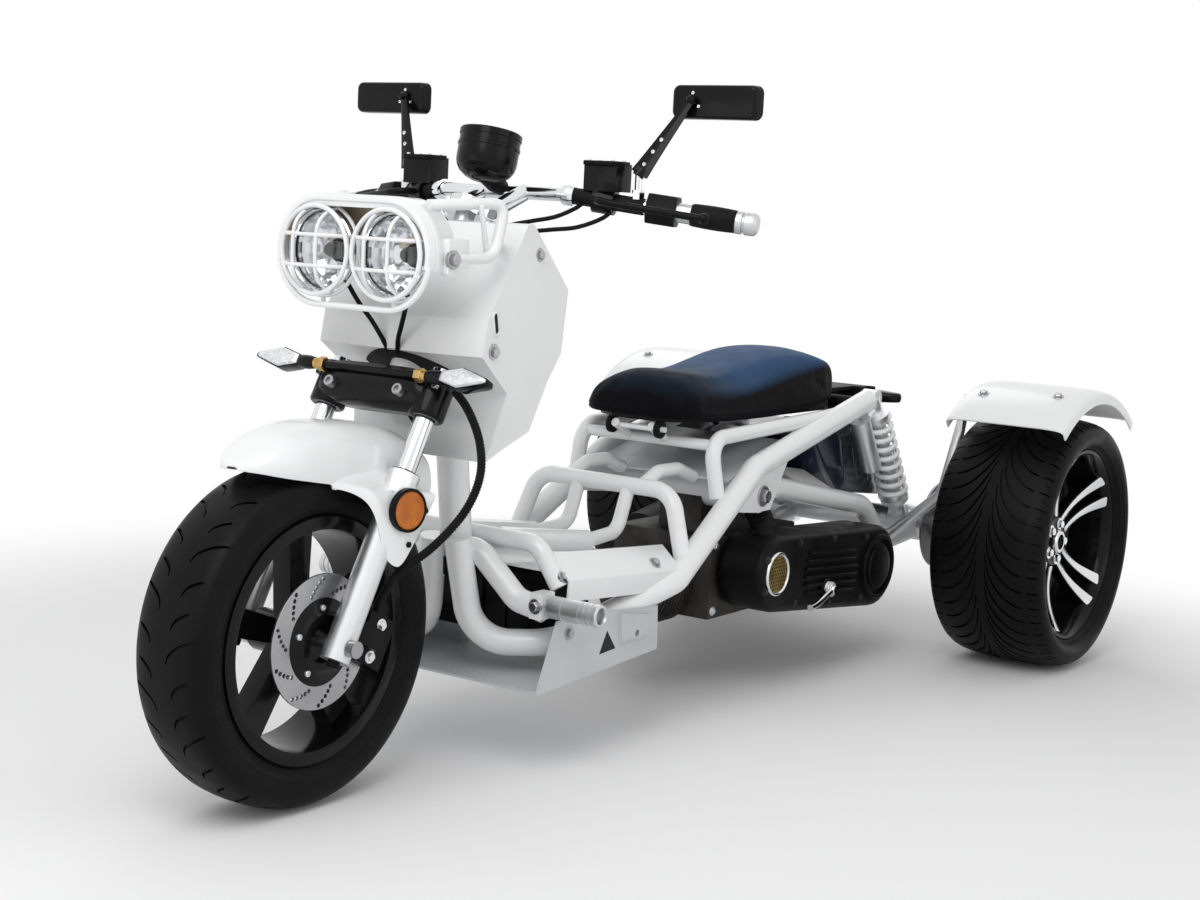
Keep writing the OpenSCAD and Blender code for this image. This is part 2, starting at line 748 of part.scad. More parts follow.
module frame_spine() {
    color("#f2f3f4") difference() {
        union() {
            rod(head_low, head_high, head_d / 2);
            pipe([spine_top, spine_knee, spine_foot], spine_bend_r, spine_d / 2);
            cradle(0);
            both_sides() translate(cradle_tip + peg_off) cube(peg_lug, center = true);
        }
        rod(mix(head_low, head_high, -overrun / head_len), mix(head_low, head_high, 1 + overrun / head_len),
            stem_d / 2 + running_fit);
    }
}

gusset_t = 6;
pivot = aft([644, carrier_y, 362]);
pivot_d = 14;
gusset_lap = 28;
gusset_front_share = 0.42;
gusset_rear_share = 0.34;
function rail_under(share) = let (p = mix(rail_knee, rail_floor, share)) [p.x, p.z];
function rail_behind(share) = let (p = mix(rail_knee, rail_tail, share)) [p.x, p.z];
module main_rail() {
    color("#f2f3f4") difference() {
        union() {
            pipe(rail_path, rail_bend_r, rail_d / 2);
            plate_y([rail_under(gusset_front_share), [rail_knee.x, rail_knee.z],
                rail_behind(gusset_rear_share),
                [pivot.x - gusset_lap, pivot.z - gusset_lap], [pivot.x + gusset_lap, pivot.z - gusset_lap]],
                carrier_y, carrier_y + gusset_t);
        }
        pin_y(pivot.x, pivot.z, pivot_d, carrier_y - overrun, carrier_y + gusset_t + overrun);
        cradle(weld_gap);
        rod(spine_knee, mix(spine_knee, spine_foot, spine_past_share), spine_d / 2 + weld_gap);
        pipe(loop_path, loop_bend_r, loop_d / 2 + weld_gap);
        pipe(hoop_path, hoop_bend_r, hoop_d / 2 + weld_gap);
    }
}

panel_front = aft([760, 0, 396]);
panel_rear = aft([560, 0, 452]);
panel_half = 150;
panel_t = 4;
hoop_top = fore([763, 140, 394]);
hoop_foot = fore([748, 180, 274]);
hoop_bend_r = 48;
hoop_path = [hoop_foot, hoop_top, flip(hoop_top), flip(hoop_foot)];
arch_y = 76;
arch_rise = 22;
arch_bend_r = 30;
module floor_hoop() {
    arch_top = [(hoop_top.x + panel_front.x) / 2, arch_y, hoop_top.z + arch_rise];
    color("#f2f3f4") difference() {
        union() {
            pipe(hoop_path, hoop_bend_r, hoop_d / 2);
            both_sides() pipe([[hoop_top.x, arch_y, hoop_top.z], arch_top + [arch_bend_r, 0, 0],
                arch_top - [arch_bend_r, 0, 0], [panel_front.x, arch_y, panel_front.z + panel_t / 2]],
                arch_bend_r, step_d / 2);
        }
        panel_body(weld_gap);
    }
}

loop_front = aft([802, 136, 473]);
loop_foot = aft([796, 152, 372]);
loop_rear = aft([372, 148, 492]);
loop_bend_r = 40;
loop_set_share = 0.29;
cross_d = 20;
loop_path = [loop_foot, loop_front, loop_rear];
module seat_frame() {
    hinge_at = [hinge_x, 0, hinge_z];
    lug_at = [0, hinge_half - hinge_lug_d / 2, 0];
    cross_mid = [loop_front.x - loop_bend_r * loop_set_share, 0, loop_front.z - loop_bend_r * loop_set_share];
    color("#f2f3f4") {
        both_sides() {
            pipe(loop_path, loop_bend_r, loop_d / 2);
            rod(cross_mid + lug_at, hinge_at + lug_at + unit(hinge_at - cross_mid) * hinge_d, hinge_lug_d / 2);
        }
        rod(cross_mid - [0, loop_front.y, 0], cross_mid + [0, loop_front.y, 0], cross_d / 2);
        pin_y(hinge_x, hinge_z, hinge_d, -hinge_half - 2 * hinge_lug_t, hinge_half + 2 * hinge_lug_t);
    }
}

// Step bars: a low front hoop, and two bars that run back from it and up to the rear hoop
front_hoop_top = fore([402, 132, 346]);
front_hoop_foot = fore([408, 172, 282]);
front_hoop_bend_r = 38;
step_fat_d = 36;
step_front = fore([402, 54, 344]);
step_rear = fore([638, 56, 312]);
step_low = fore([733, 52, 317]);
step_top = [hoop_top.x, step_low.y, hoop_top.z];
step_bend_r = 34;
step_start_share = 0.9;
module step_bars() {
    color("#f2f3f4") difference() {
        union() {
            pipe([front_hoop_foot, front_hoop_top, flip(front_hoop_top), flip(front_hoop_foot)],
                front_hoop_bend_r, hoop_d / 2);
            both_sides() {
                rod(step_front, step_rear, step_fat_d / 2);
                pipe([mix(step_front, step_rear, step_start_share), step_rear, step_low, step_top],
                    step_bend_r, step_d / 2);
            }
        }
        pipe(hoop_path, hoop_bend_r, hoop_d / 2 + weld_gap);
        floor_body(floor_t, weld_gap);
        rod(spine_knee, mix(spine_knee, spine_foot, spine_past_share), spine_d / 2 + weld_gap);
    }
}

// Floor panel: a sunk floor between two ridges, and a blank plate down each side
floor_rear = fore([727, 0, 309]);
floor_tilt = 4.2;
floor_sink = 26;
ridge_y = 150;
ridge_drop = 36;
apron_h = 33;
module floor_body(t, grow) {
    upper = [[ridge_y - t, -floor_sink + grow], [ridge_y - t - grow, grow], [ridge_y + grow, grow],
        [floor_half + grow, -ridge_drop + grow], [floor_half + grow, -ridge_drop - apron_h - grow]];
    lower = [[floor_half - t, -ridge_drop - apron_h - grow], [floor_half - t, -ridge_drop - t / 2],
        [ridge_y + t / 2, -t * 2], [ridge_y + t / 2, -floor_sink - t]];
    half = concat(upper, lower);
    translate(floor_rear) rotate([0, -floor_tilt, 0]) rotate([90, 0, 90]) linear_extrude(height = floor_len)
        polygon(concat(half, [for (i = [len(half) - 1 : -1 : 0]) [-half[i].x, half[i].y]]));
}
module floor_panel() {
    color("#f0f1f2") difference() {
        floor_body(floor_t, 0);
        both_sides() pipe(rail_path, rail_bend_r, rail_d / 2 + weld_gap);
    }
}

// Skid plate under the floor, with a cheek up each side
skid_front = fore([324, 0, skid_z]);
skid_len = 326;
skid_tilt = 3.4;
skid_half = 200;
skid_cheek_h = 104;
lug_t = 6;
lug_hole = fore([580, 0, 190]);
lug_hole_d = 12;
// Outlines in shares of the plate's length back from its front and of the cheek's height
cheek_shares = [[0, 0], [1, 0], [1, 0.7], [0.62, 0.86], [0.16, 1]];
lug_shares = [[0.66, 0.36], [0.92, 0.30], [0.92, 0.62], [0.66, 0.80]];
function on_cheek(shares) = [for (q = shares) [-q.x * skid_len, q.y * skid_cheek_h]];
module skid_plate() {
    color("#dfe0e2") difference() {
        translate(skid_front) rotate([0, skid_tilt, 0]) {
            translate([-skid_len, -skid_half, 0]) cube([skid_len, 2 * skid_half, skid_t]);
            both_sides() {
                plate_y(on_cheek(cheek_shares), skid_half - skid_t, skid_half);
                plate_y(on_cheek(lug_shares), skid_half - overrun, skid_half + lug_t);
            }
        }
        both_sides() pin_y(lug_hole.x, lug_hole.z, lug_hole_d, skid_half - 2 * skid_t, skid_half + 2 * lug_t);
        both_sides() pipe(rail_path, rail_bend_r, rail_d / 2 + weld_gap);
    }
}

peg_d = 35;
peg_len = 100;
module foot_pegs() {
    root = cradle_tip + peg_off + [0, peg_lug.y / 2, 0];
    color("#c3c5c7") both_sides() pin_y(root.x, root.z, peg_d, root.y + weld_gap, root.y + peg_len);
}

// Front fairing: a folded shell; a row is back from the axle, height, half-width share, bulge share
fairing_rows = [[344, 834, 0.89, 0.19], [437, 736, 0.89, 0], [426, 640, 0.89, 0], [397, 598, 0.88, 0],
    [357, 523, 0.87, 0], [298, 500, 0.85, 0], [264, 482, 0.82, 0], [284, 585, 0.95, 0.05],
    [212, 642, 1, 0.12], [222, 695, 1, 0.16], [330, 832, 0.89, 0.19]];
fairing_middle = fore([365, 0, 660]);
module fairing_body(scale_share) {
    rows = len(fairing_rows);
    columns = [1, 0, -1];
    raw = [for (c = columns, f = fairing_rows)
        fore([f.x, c * f[2] * fairing_half, f.y]) + [c == 0 ? f[3] * fairing_half : 0, 0, 0]];
    points = [for (p = raw) mix(fairing_middle, p, scale_share)];
    skin = [for (c = [0 : 1], i = [0 : rows - 1])
        let (a = c * rows + i, b = c * rows + (i + 1) % rows) each [[a, b, a + rows], [b, b + rows,
            a + rows]]];
    left = [for (i = [2 : rows - 1]) [1, (i + 1) % rows, i]];
    right = [for (f = left) [2 * rows + f[0], 2 * rows + f[2], 2 * rows + f[1]]];
    polyhedron(points, [for (f = concat(skin, left, right)) back_to_front(f)]);
}
fairing_inner_share = 1 - fairing_wall / fairing_half;
chin_cut_d = 150;
chin_cut_share = 0.55;
stem_hole_d = 74;
stem_hole_share = 3;
module front_fairing() {
    color("#f4f5f6") difference() {
        fairing_body(1);
        fairing_body(fairing_inner_share);
        rod(fork_point([-fork_offset, 0, bridge_up]), mix(head_low, head_high, chin_cut_share),
            chin_cut_d / 2);
        rod(head_high, mix(head_low, head_high, stem_hole_share), stem_hole_d / 2);
        rod(spine_top, spine_knee, spine_d);
        rod(spine_knee, spine_foot, spine_d / 2 + weld_gap);
    }
}

// Headlights: an oblong hood with two lamps, a wire guard in front, a tube loop to the fairing each side
lamp_back = 108;
lamp_x = x_f - lamp_back;
lamp_z = 783;
hood_half = 66;
hood_r = 81;
hood_wall = 7;
hood_depth = 78;
hood_front = 8;
lamp_depth = 62;
lamp_back_r = 26;
lamp_plate_t = 6;
lamp_plate_h = 26;
arm_tube_d = 17;
arm_bend_r = 24;
arm_y = 149;
module hood_outline(r) {
    polygon(belt([-hood_half, 0], r, [hood_half, 0], r, round_steps));
}
module hood_hollow() {
    translate([lamp_x + hood_front - hood_depth - overrun, 0, lamp_z]) rotate([90, 0, 90])
        linear_extrude(height = hood_depth + 2 * overrun) hood_outline(hood_r - hood_wall);
}
module hood_arm() {
    mid = lamp_x + hood_front - hood_depth / 2;
    rear_x = lamp_x + hood_front - arm_reach;
    wall_r = hood_r + arm_tube_d / 2 - hood_wall + seat_gap;
    pipe([[mid, hood_half + wall_r * sin(arm_angle), lamp_z + wall_r * cos(arm_angle)],
        [rear_x, arm_y, lamp_z + arm_rise], [rear_x + arm_slant, arm_y, lamp_z], [mid, arm_y, lamp_z]],
        arm_bend_r, arm_tube_d / 2);
    rod([rear_x + arm_slant / 2, arm_y, lamp_z + arm_rise / 2], [rear_x - arm_brace_len, arm_y / 2, lamp_z],
        arm_brace_d / 2);
}
module headlight_hood() {
    reach = hood_half + hood_r - hood_wall / 2;
    color("#f4f5f6") {
        difference() {
            translate([lamp_x + hood_front - hood_depth, 0, lamp_z]) rotate([90, 0, 90])
                linear_extrude(height = hood_depth) hood_outline(hood_r);
            hood_hollow();
        }
        translate([lamp_x - lamp_depth - lamp_plate_t, -reach, lamp_z - lamp_plate_h / 2])
            cube([lamp_plate_t, 2 * reach, lamp_plate_h]);
        difference() {
            both_sides() hood_arm();
            fairing_body(1);
        }
    }
}
arm_reach = 162;
arm_rise = 80;
arm_slant = 22;
arm_angle = 30;
arm_brace_d = 13;
arm_brace_len = 70;

module headlights() {
    color("#dfe6ea") both_sides() translate([lamp_x - lamp_depth, lamp_half, lamp_z]) rotate([0, 90, 0])
        cylinder(h = lamp_depth, r1 = lamp_back_r, r2 = lamp_r, $fn = facets);
}

guard_d = 6;
guard_bar_d = 5;
guard_bar_z = 20;
guard_r = 63;
module headlight_guard() {
    x = lamp_x + hood_front - guard_d / 2;
    reach = hood_half + hood_r;
    color("#f4f5f6") intersection() {
        union() {
        both_sides() translate([x, lamp_half, lamp_z]) rotate([0, 90, 0]) rotate_extrude($fn = facets)
            translate([guard_r, 0]) circle(d = guard_d, $fn = facets / 2);
        for (s = [-1, 1])
            rod([x, -reach, lamp_z + s * guard_bar_z], [x, reach, lamp_z + s * guard_bar_z], guard_bar_d / 2);
        }
        translate([x - guard_r, 0, lamp_z]) rotate([90, 0, 90]) linear_extrude(height = 2 * guard_r)
            hood_outline(hood_r - hood_wall - weld_gap);
    }
}

// Under-seat panel: a sloped sheet between the main rails behind the floor hoop
module panel_body(grow) {
    plate_y([[panel_front.x + grow, panel_front.z - grow], [panel_rear.x, panel_rear.z - grow],
        [panel_rear.x, panel_rear.z + panel_t + grow], [panel_front.x + grow,
            panel_front.z + panel_t + grow]],
        -panel_half, panel_half);
}
module under_seat_panel() {
    color("#c9ccd0") difference() {
        panel_body(0);
        both_sides() pipe(rail_path, rail_bend_r, rail_d / 2 + weld_gap);
    }
}

// Swingarm: a pivot tube between the gussets and one bent arm down each side to the axle carriers
arm_side_y = 128;
boss_d = 64;
boss_half = carrier_y - seat_gap;
arm_toe = aft([118, 132, 214]);
arm_end = aft([20, 140, 226]);
arm_path = [[pivot.x, arm_side_y, pivot.z], aft([550, arm_side_y, 366]), aft([200, arm_side_y, 298]),
    arm_toe, arm_end];
arm_curve_r = 60;
module swingarm() {
    color("#f2f3f4") difference() {
        union() {
            pin_y(pivot.x, pivot.z, boss_d, -boss_half, boss_half);
            both_sides() pipe(arm_path, arm_curve_r, arm_d / 2);
        }
        translate([x_r, 0, z_r]) {
            pin_y(0, 0, housing_d + 2 * weld_gap, -carrier_y, carrier_y);
            both_sides() pin_y(0, 0, carrier_d + 2 * weld_gap, carrier_y - carrier_t / 2 - weld_gap,
                carrier_y + carrier_t / 2);
        }
    }
    color("#b9bbbd") pin_y(pivot.x, pivot.z, pivot_d - 2 * weld_gap, -carrier_y - gusset_t,
        carrier_y + gusset_t);
}

// Engine: a plain block, cylinder forward, a drive cover on the left, its cooling duct, a muffler
case_size = [300, 210, 148];
case_at = aft([420, -110, 136]);
barrel_d = 124;
barrel_len = 112;
barrel_z = 190;
engine_lug = [60, 90];
module case_box(grow) {
    translate(case_at - [grow, grow, grow]) cube(case_size + 2 * [grow, grow, grow]);
}
module engine_block() {
    color("#55585b") difference() {
        union() {
            case_box(0);
            translate([case_at.x + case_size.x - overrun, 0, barrel_z]) rotate([0, 90, 0])
                cylinder(h = barrel_len, d = barrel_d, $fn = facets);
            translate([pivot.x - engine_lug.x / 2, -engine_lug.y / 2, case_at.z + case_size.z - overrun])
                cube([engine_lug.x, engine_lug.y, pivot.z - case_at.z - case_size.z]);
        }
        pin_y(pivot.x, pivot.z, boss_d + 2 * seat_gap, -carrier_y, carrier_y);
    }
}

cover_front = aft([635, 0, 222]);
cover_rear = aft([250, 0, 190]);
cover_front_r = 70;
cover_rear_r = 80;
cover_t = 98;
cover_at = case_at.y + case_size.y;
module cover_outline(grow) {
    polygon(belt([cover_rear.x, cover_rear.z], cover_rear_r + grow, [cover_front.x, cover_front.z],
        cover_front_r + grow, round_steps));
}
module drive_cover() {
    color("#17181a") translate([0, cover_at + cover_t, 0]) rotate([90, 0, 0]) linear_extrude(height = cover_t)
        cover_outline(0);
}

duct_d = 46;
duct_path = [aft([628, 150, 240]), aft([620, 150, 306]), aft([560, 84, 330])];
duct_bend_r = 34;
module intake_duct() {
    color("#151618") difference() {
        pipe(duct_path, duct_bend_r, duct_d / 2);
        translate([0, cover_at + cover_t, 0]) rotate([90, 0, 0]) linear_extrude(height = cover_t)
            cover_outline(weld_gap);
        case_box(weld_gap);
        pipe(arm_path, arm_curve_r, arm_d / 2 + seat_gap);
        pin_y(pivot.x, pivot.z, boss_d + 2 * seat_gap, -carrier_y, carrier_y);
    }
}

muffler_d = 112;
muffler_front = aft([500, -196, 214]);
muffler_rear = aft([190, -210, 262]);
header_d = 30;
header_path = [aft([770, -10, 160]), aft([770, -40, 112]), aft([600, -176, 118]), aft([480, -194, 216])];
muffler_stay_share = 0.25;
muffler_stay_d = 20;
header_bend_r = 42;
module muffler() {
    color("#7c7f82") difference() {
        union() {
            rod(muffler_front, muffler_rear, muffler_d / 2);
            pipe(header_path, header_bend_r, header_d / 2);
            rod(mix(muffler_front, muffler_rear, muffler_stay_share), [muffler_front.x, 0,
                muffler_front.z], muffler_stay_d / 2);
        }
        case_box(weld_gap);
        translate([case_at.x + case_size.x - overrun, 0, barrel_z]) rotate([0, 90, 0])
            cylinder(h = barrel_len, d = barrel_d + 2 * weld_gap, $fn = facets);
    }
}

// Fuel tank behind the engine, under the seat's rear
tank_half = 112;
// Its outline, forward from the rear axle and up from the floor
tank_rows = [[440, 436], [300, 466], [150, 452], [50, 404], [-14, 330], [-4, 296], [140, 312], [280, 330],
    [420, 386]];
tank_tab_d = 18;
tank_tab_share = 0.7;
module fuel_tank() {
    tab_end = mix(rail_knee, rail_tail, tank_tab_share);
    color("#141a2c") difference() {
        union() {
            plate_y([for (p = tank_rows) [x_r + p.x, p.y]], -tank_half, tank_half);
            both_sides() rod([tab_end.x, tank_half - tank_tab_d, tab_end.z - tank_half / 2], tab_end,
                tank_tab_d / 2);
        }
        both_sides() rod(rail_tail, rail_knee, rail_d / 2 + weld_gap);
    }
}

// Rear shocks: damper with eyes and spring seats, a gas canister beside it, and the spring
shock_eye_d = 34;
shock_eye_w = 30;
shock_low = aft([78, carrier_y, 273]);
tail_dir = unit(rail_tail - rail_knee);
shock_high = rail_tail + tail_dir * (shock_eye_d / 2 + seat_gap);
damper_d = 36;
spring_d = 58;
collar_t = 10;
spring_from_share = 0.16;
spring_to_share = 0.84;
canister_d = 40;
canister_len = 118;
canister_off = 56;
canister_from_share = 0.04;
canister_link_share = 0.08;
canister_link_d = 24;
function on_shock(share) = mix(shock_high, shock_low, share);
shock_dir = unit(shock_low - shock_high);
module shock_absorbers() {
    side = unit(cross(shock_dir, [0, 1, 0]));
    top = on_shock(canister_from_share) + side * canister_off;
    color("#c2c4c6") both_sides() difference() {
        union() {
        pin_y(shock_high.x, shock_high.z, shock_eye_d, carrier_y - shock_eye_w / 2,
            carrier_y + shock_eye_w / 2);
        pin_y(shock_low.x, shock_low.z, shock_eye_d, carrier_y - shock_eye_w / 2,
            carrier_y + shock_eye_w / 2);
        rod(on_shock(0), on_shock(1), damper_d / 2 - overrun);
        rod(on_shock(spring_from_share) - shock_dir * collar_t, on_shock(spring_from_share), spring_d / 2);
        rod(on_shock(spring_to_share), on_shock(spring_to_share) + shock_dir * collar_t, spring_d / 2);
        rod(top, top + shock_dir * canister_len, canister_d / 2);
        rod(on_shock(canister_link_share), top + shock_dir * collar_t, canister_link_d / 2);
        }
        rod(rail_tail, rail_knee, rail_d / 2 + weld_gap);
    }
}
module shock_springs() {
    color("#f4f5f6") both_sides() difference() {
        rod(on_shock(spring_from_share) + shock_dir * weld_gap,
            on_shock(spring_to_share) - shock_dir * weld_gap,
            spring_d / 2);
        rod(on_shock(spring_from_share) - shock_dir * overrun,
            on_shock(spring_to_share) + shock_dir * overrun,
            damper_d / 2);
    }
}

// Rear fenders over the wide tyres, each on a bent stay
rear_fender_r = 300;
rear_fender_half = 122;
rear_lip = 20;
rear_fender_from = 54;
rear_fender_to = 128;
module rear_fenders() {
    skin = rear_fender_r + fender_t;
    lip = rear_fender_r - rear_lip;
    edge = rear_fender_half - fender_t;
    half = [[lip, rear_fender_half], [rear_fender_r - fender_t, rear_fender_half], [skin,
        rear_fender_half - rear_lip],
        [skin + fender_t, 0]];
    under = [[lip, edge], [rear_fender_r - rear_lip / 2, edge], [rear_fender_r, edge - rear_lip], [skin, 0]];
    color("#f4f5f6") both_sides() in_rear_wheel(1) rotate([90, 0, 0]) rotate([0, 0, rear_fender_from])
        rotate_extrude(angle = rear_fender_to - rear_fender_from, $fn = 2 * facets)
            polygon(concat(half, [for (i = [2 : -1 : 0]) [half[i].x, -half[i].y]],
                [for (i = [0 : 2]) [under[i].x, -under[i].y]], back_to_front(under)));
}

stay_d = 22;
stay_bend_r = 30;
stay_inset = 30;
stay_elbow_rise = 82;
stay_top_fore = 82;
module fender_stays() {
    root = arm_toe;
    elbow = [arm_toe.x, rear_y - rear_tyre_w / 2 - stay_inset, z_r + stay_elbow_rise];
    top = aft([stay_top_fore, rear_y - rear_fender_half + fender_t / 2, z_r + rear_fender_r - rear_lip]);
    color("#b9bbbd") both_sides() difference() {
        pipe([root, elbow, top], stay_bend_r, stay_d / 2);
        pipe(arm_path, arm_curve_r, arm_d / 2 + weld_gap);
        translate([x_r, rear_y - rear_fender_half - weld_gap, 0]) cube([rear_tyre_r, rear_tyre_w,
            2 * rear_fender_r]);
    }
}

// Tail: a bar between the rails, an arm back from it with a lamp, two signals and a blank plate holder
tail_bar_d = 26;
tail_arm = [214, 56, 8];
tail_up = 14;
tail_lamp = [34, 96, 40];
tail_signal = [44, 126, 18];
tail_signal_shares = [[-0.5, 0.4], [-0.16, 0.2], [-0.16, 0], [0.16, 0], [0.16, 0.2], [0.5, 0.4], [0.3,
    0.9], [0.1, 1],
    [-0.1, 1], [-0.3, 0.9]];
tail_plate = [6, 120, 108];
tail_hole_y = 44;
tail_hole_d = 7;
tail_hole_share = 0.72;
module tail_bracket() {
    bar_at = rail_tail - tail_dir * tail_bar_d;
    end = [bar_at.x - tail_arm.x, 0, bar_at.z + tail_up];
    color("#151618") difference() {
        union() {
            rod(flip(bar_at), bar_at, tail_bar_d / 2);
            translate([end.x, -tail_arm.y / 2, end.z - tail_arm.z]) cube(tail_arm);
            translate([end.x - tail_lamp.x / 2, -tail_lamp.y / 2, end.z - tail_lamp.z]) cube(tail_lamp);
            both_sides() translate([end.x, 0,
                end.z - tail_arm.z - tail_signal.z]) linear_extrude(height = tail_signal.z)
                polygon([for (q = tail_signal_shares) [q.x * tail_signal.x, q.y * tail_signal.y]]);
            translate([end.x - tail_lamp.x / 2 - tail_plate.x + overrun, -tail_plate.y / 2,
                end.z - tail_plate.z])
                cube(tail_plate);
        }
        both_sides() translate([end.x - tail_lamp.x, tail_hole_y, end.z - tail_plate.z * tail_hole_share])
            rotate([0, 90, 0]) cylinder(h = tail_lamp.x, d = tail_hole_d, $fn = facets);
        both_sides() rod(rail_tail, rail_knee, rail_d / 2 + weld_gap);
    }
}

steering_stem();
fork_bridge();
fork_tubes();
fork_sliders();
front_axle();
front_fender();
handlebar();
hand_grips();
brake_levers();
master_cylinders();
switch_pods();
mirrors();
gauge();
front_signals();
brake_caliper();
brake_hose();
front_tyre();
front_rim();
front_brake_disc();
rear_tyre(1);  // rear_tyre_left
rear_rim(1);  // rear_rim_left
rear_shaft(1);  // rear_shaft_left
rear_brake_disc();
rear_tyre(-1);  // rear_tyre_right
rear_rim(-1);  // rear_rim_right
rear_shaft(-1);  // rear_shaft_right
seat_cushion();
seat_base();
frame_spine();
main_rail();  // main_rail_left
mirror([0, 1, 0]) main_rail();  // main_rail_right
floor_hoop();
step_bars();
seat_frame();
floor_panel();
skid_plate();
foot_pegs();
front_fairing();
headlight_hood();
headlights();
headlight_guard();
under_seat_panel();
swingarm();
engine_block();
drive_cover();
intake_duct();
muffler();
fuel_tank();
axle_housing();
shock_absorbers();
shock_springs();
rear_fenders();
fender_stays();
tail_bracket();
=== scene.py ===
import json
from math import copysign, cos, hypot, pi, radians, sin, sqrt
import bmesh
import bpy
from mathutils import Matrix, Vector
from mathutils.bvhtree import BVHTree


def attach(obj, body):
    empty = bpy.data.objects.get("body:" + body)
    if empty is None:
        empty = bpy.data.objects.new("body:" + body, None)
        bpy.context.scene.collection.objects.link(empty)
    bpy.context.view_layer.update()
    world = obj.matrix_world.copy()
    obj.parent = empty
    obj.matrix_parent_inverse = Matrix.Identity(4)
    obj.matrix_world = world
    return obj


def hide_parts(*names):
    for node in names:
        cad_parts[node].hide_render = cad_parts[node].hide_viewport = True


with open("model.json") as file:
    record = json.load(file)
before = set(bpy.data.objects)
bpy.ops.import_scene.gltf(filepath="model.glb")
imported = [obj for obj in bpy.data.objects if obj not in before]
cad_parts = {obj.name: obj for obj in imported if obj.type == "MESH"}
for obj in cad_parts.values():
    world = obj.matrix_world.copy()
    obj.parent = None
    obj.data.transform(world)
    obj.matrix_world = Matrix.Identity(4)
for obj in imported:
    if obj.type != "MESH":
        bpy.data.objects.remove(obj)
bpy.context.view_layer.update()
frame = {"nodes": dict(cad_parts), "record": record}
nodes = frame["nodes"]
scene = bpy.context.scene
mm = 0.001  # mesh code below works in millimetres
print("frame loaded:", len(nodes), "nodes")

# the places that everything hangs on, as in the part
site = dict(frontX=845.5, frontZ=243.0, rearX=-840.5, rearZ=248.0, rearY=410.0, rake=radians(28),
            stemBack=32.0)


def forkPoint(x, y, z):
    c, s = cos(site["rake"]), sin(site["rake"])
    return Vector((site["frontX"] + x * c - z * s, y, site["frontZ"] + x * s + z * c))


def stemPoint(z):
    # a place on the steering axis, which stands behind the fork legs
    return forkPoint(-site["stemBack"], 0, z)


forkUp = (forkPoint(0, 0, 1) - forkPoint(0, 0, 0)).normalized()
forkAhead = (forkPoint(1, 0, 0) - forkPoint(0, 0, 0)).normalized()
leftward, upward = Vector((0, 1, 0)), Vector((0, 0, 1))

# camera: stands where the photograph was taken
cameraSetup = dict(place=(2.79931, 1.87607, 0.8711), right=(-0.5752615, 0.81642874, 0.05018286),
                   up=(-0.0753313, -0.11396898, 0.99062418), back=(0.81449334, 0.56608762, 0.12706461),
                   lens=57.97, sensor=36.0)


def makeCamera(s):
    camera = bpy.data.objects.new("camera", bpy.data.cameras.new("camera"))
    scene.collection.objects.link(camera)
    turn = Matrix((s["right"], s["up"], s["back"])).transposed()
    camera.matrix_world = Matrix.Translation(s["place"]) @ turn.to_4x4()
    camera.data.lens = s["lens"]
    camera.data.sensor_width = s["sensor"]
    camera.data.clip_end = 100
    scene.camera = camera


makeCamera(cameraSetup)

# light: a wide soft box over the front, weaker ones low in front, on the left and behind, an even world
lightSetup = dict(world=0.6, boxes=[
    ("keyBox", (2.6, 0.7, 3.0), (0.2, 0.0, 0.4), 2.6, 53),
    ("fillBox", (0.4, 3.4, 1.7), (-0.1, 0.0, 0.5), 2.2, 8),
    ("frontBox", (3.4, -0.9, 0.5), (0.4, 0.0, 0.45), 2.0, 6),
    ("rimBox", (-2.6, -1.6, 2.4), (-0.2, 0.0, 0.5), 2.0, 10),
])


def connect(tree, joins):
    # a join is (node, its output, next node, its input)
    for source, leaves, target, enters in joins:
        tree.links.new(source.outputs[leaves], target.inputs[enters])


def fill(node, values):
    for label, value in values.items():
        node.inputs[label].default_value = value


# the share of a ray that sees the backdrop: from the camera, mirrored or through glass
def seenRay(tree):
    path = tree.nodes.new("ShaderNodeLightPath")
    seen = path.outputs["Is Camera Ray"]
    for kind in ("Is Glossy Ray", "Is Transmission Ray"):
        either = tree.nodes.new("ShaderNodeMath")
        either.operation = "MAXIMUM"
        tree.links.new(seen, either.inputs[0])
        connect(tree, [(path, kind, either, 1)])
        seen = either.outputs["Value"]
    return seen


def makeLights(s):
    for name, place, aim, size, power in s["boxes"]:
        lamp = bpy.data.lights.new(name, "AREA")
        lamp.shape, lamp.size, lamp.energy = "DISK", size, power
        holder = bpy.data.objects.new(name, lamp)
        holder.location = place
        holder.rotation_euler = (Vector(aim) - Vector(place)).to_track_quat("-Z", "Y").to_euler()
        scene.collection.objects.link(holder)
    world = bpy.data.worlds.new("studio")
    scene.world = world
    world.use_nodes = True
    tree = world.node_tree
    base = tree.nodes["Background"]
    fill(base, {"Color": (1, 1, 1, 1), "Strength": s["world"]})
    seen = tree.nodes.new("ShaderNodeBackground")
    seen.inputs["Color"].default_value = (1, 1, 1, 1)
    blend = tree.nodes.new("ShaderNodeMixShader")
    tree.links.new(seenRay(tree), blend.inputs[0])
    connect(tree,
            [(base, 0, blend, 1), (seen, 0, blend, 2), (blend, 0, tree.nodes["World Output"], "Surface")])


def newMaterial(name):
    mat = bpy.data.materials.new(name)
    mat.use_nodes = True
    return mat, mat.node_tree, mat.node_tree.nodes["Principled BSDF"]


floorSetup = dict(half=9.0, colour=(0.9, 0.9, 0.905, 1), fadeFrom=1.1, fadeTo=2.1)


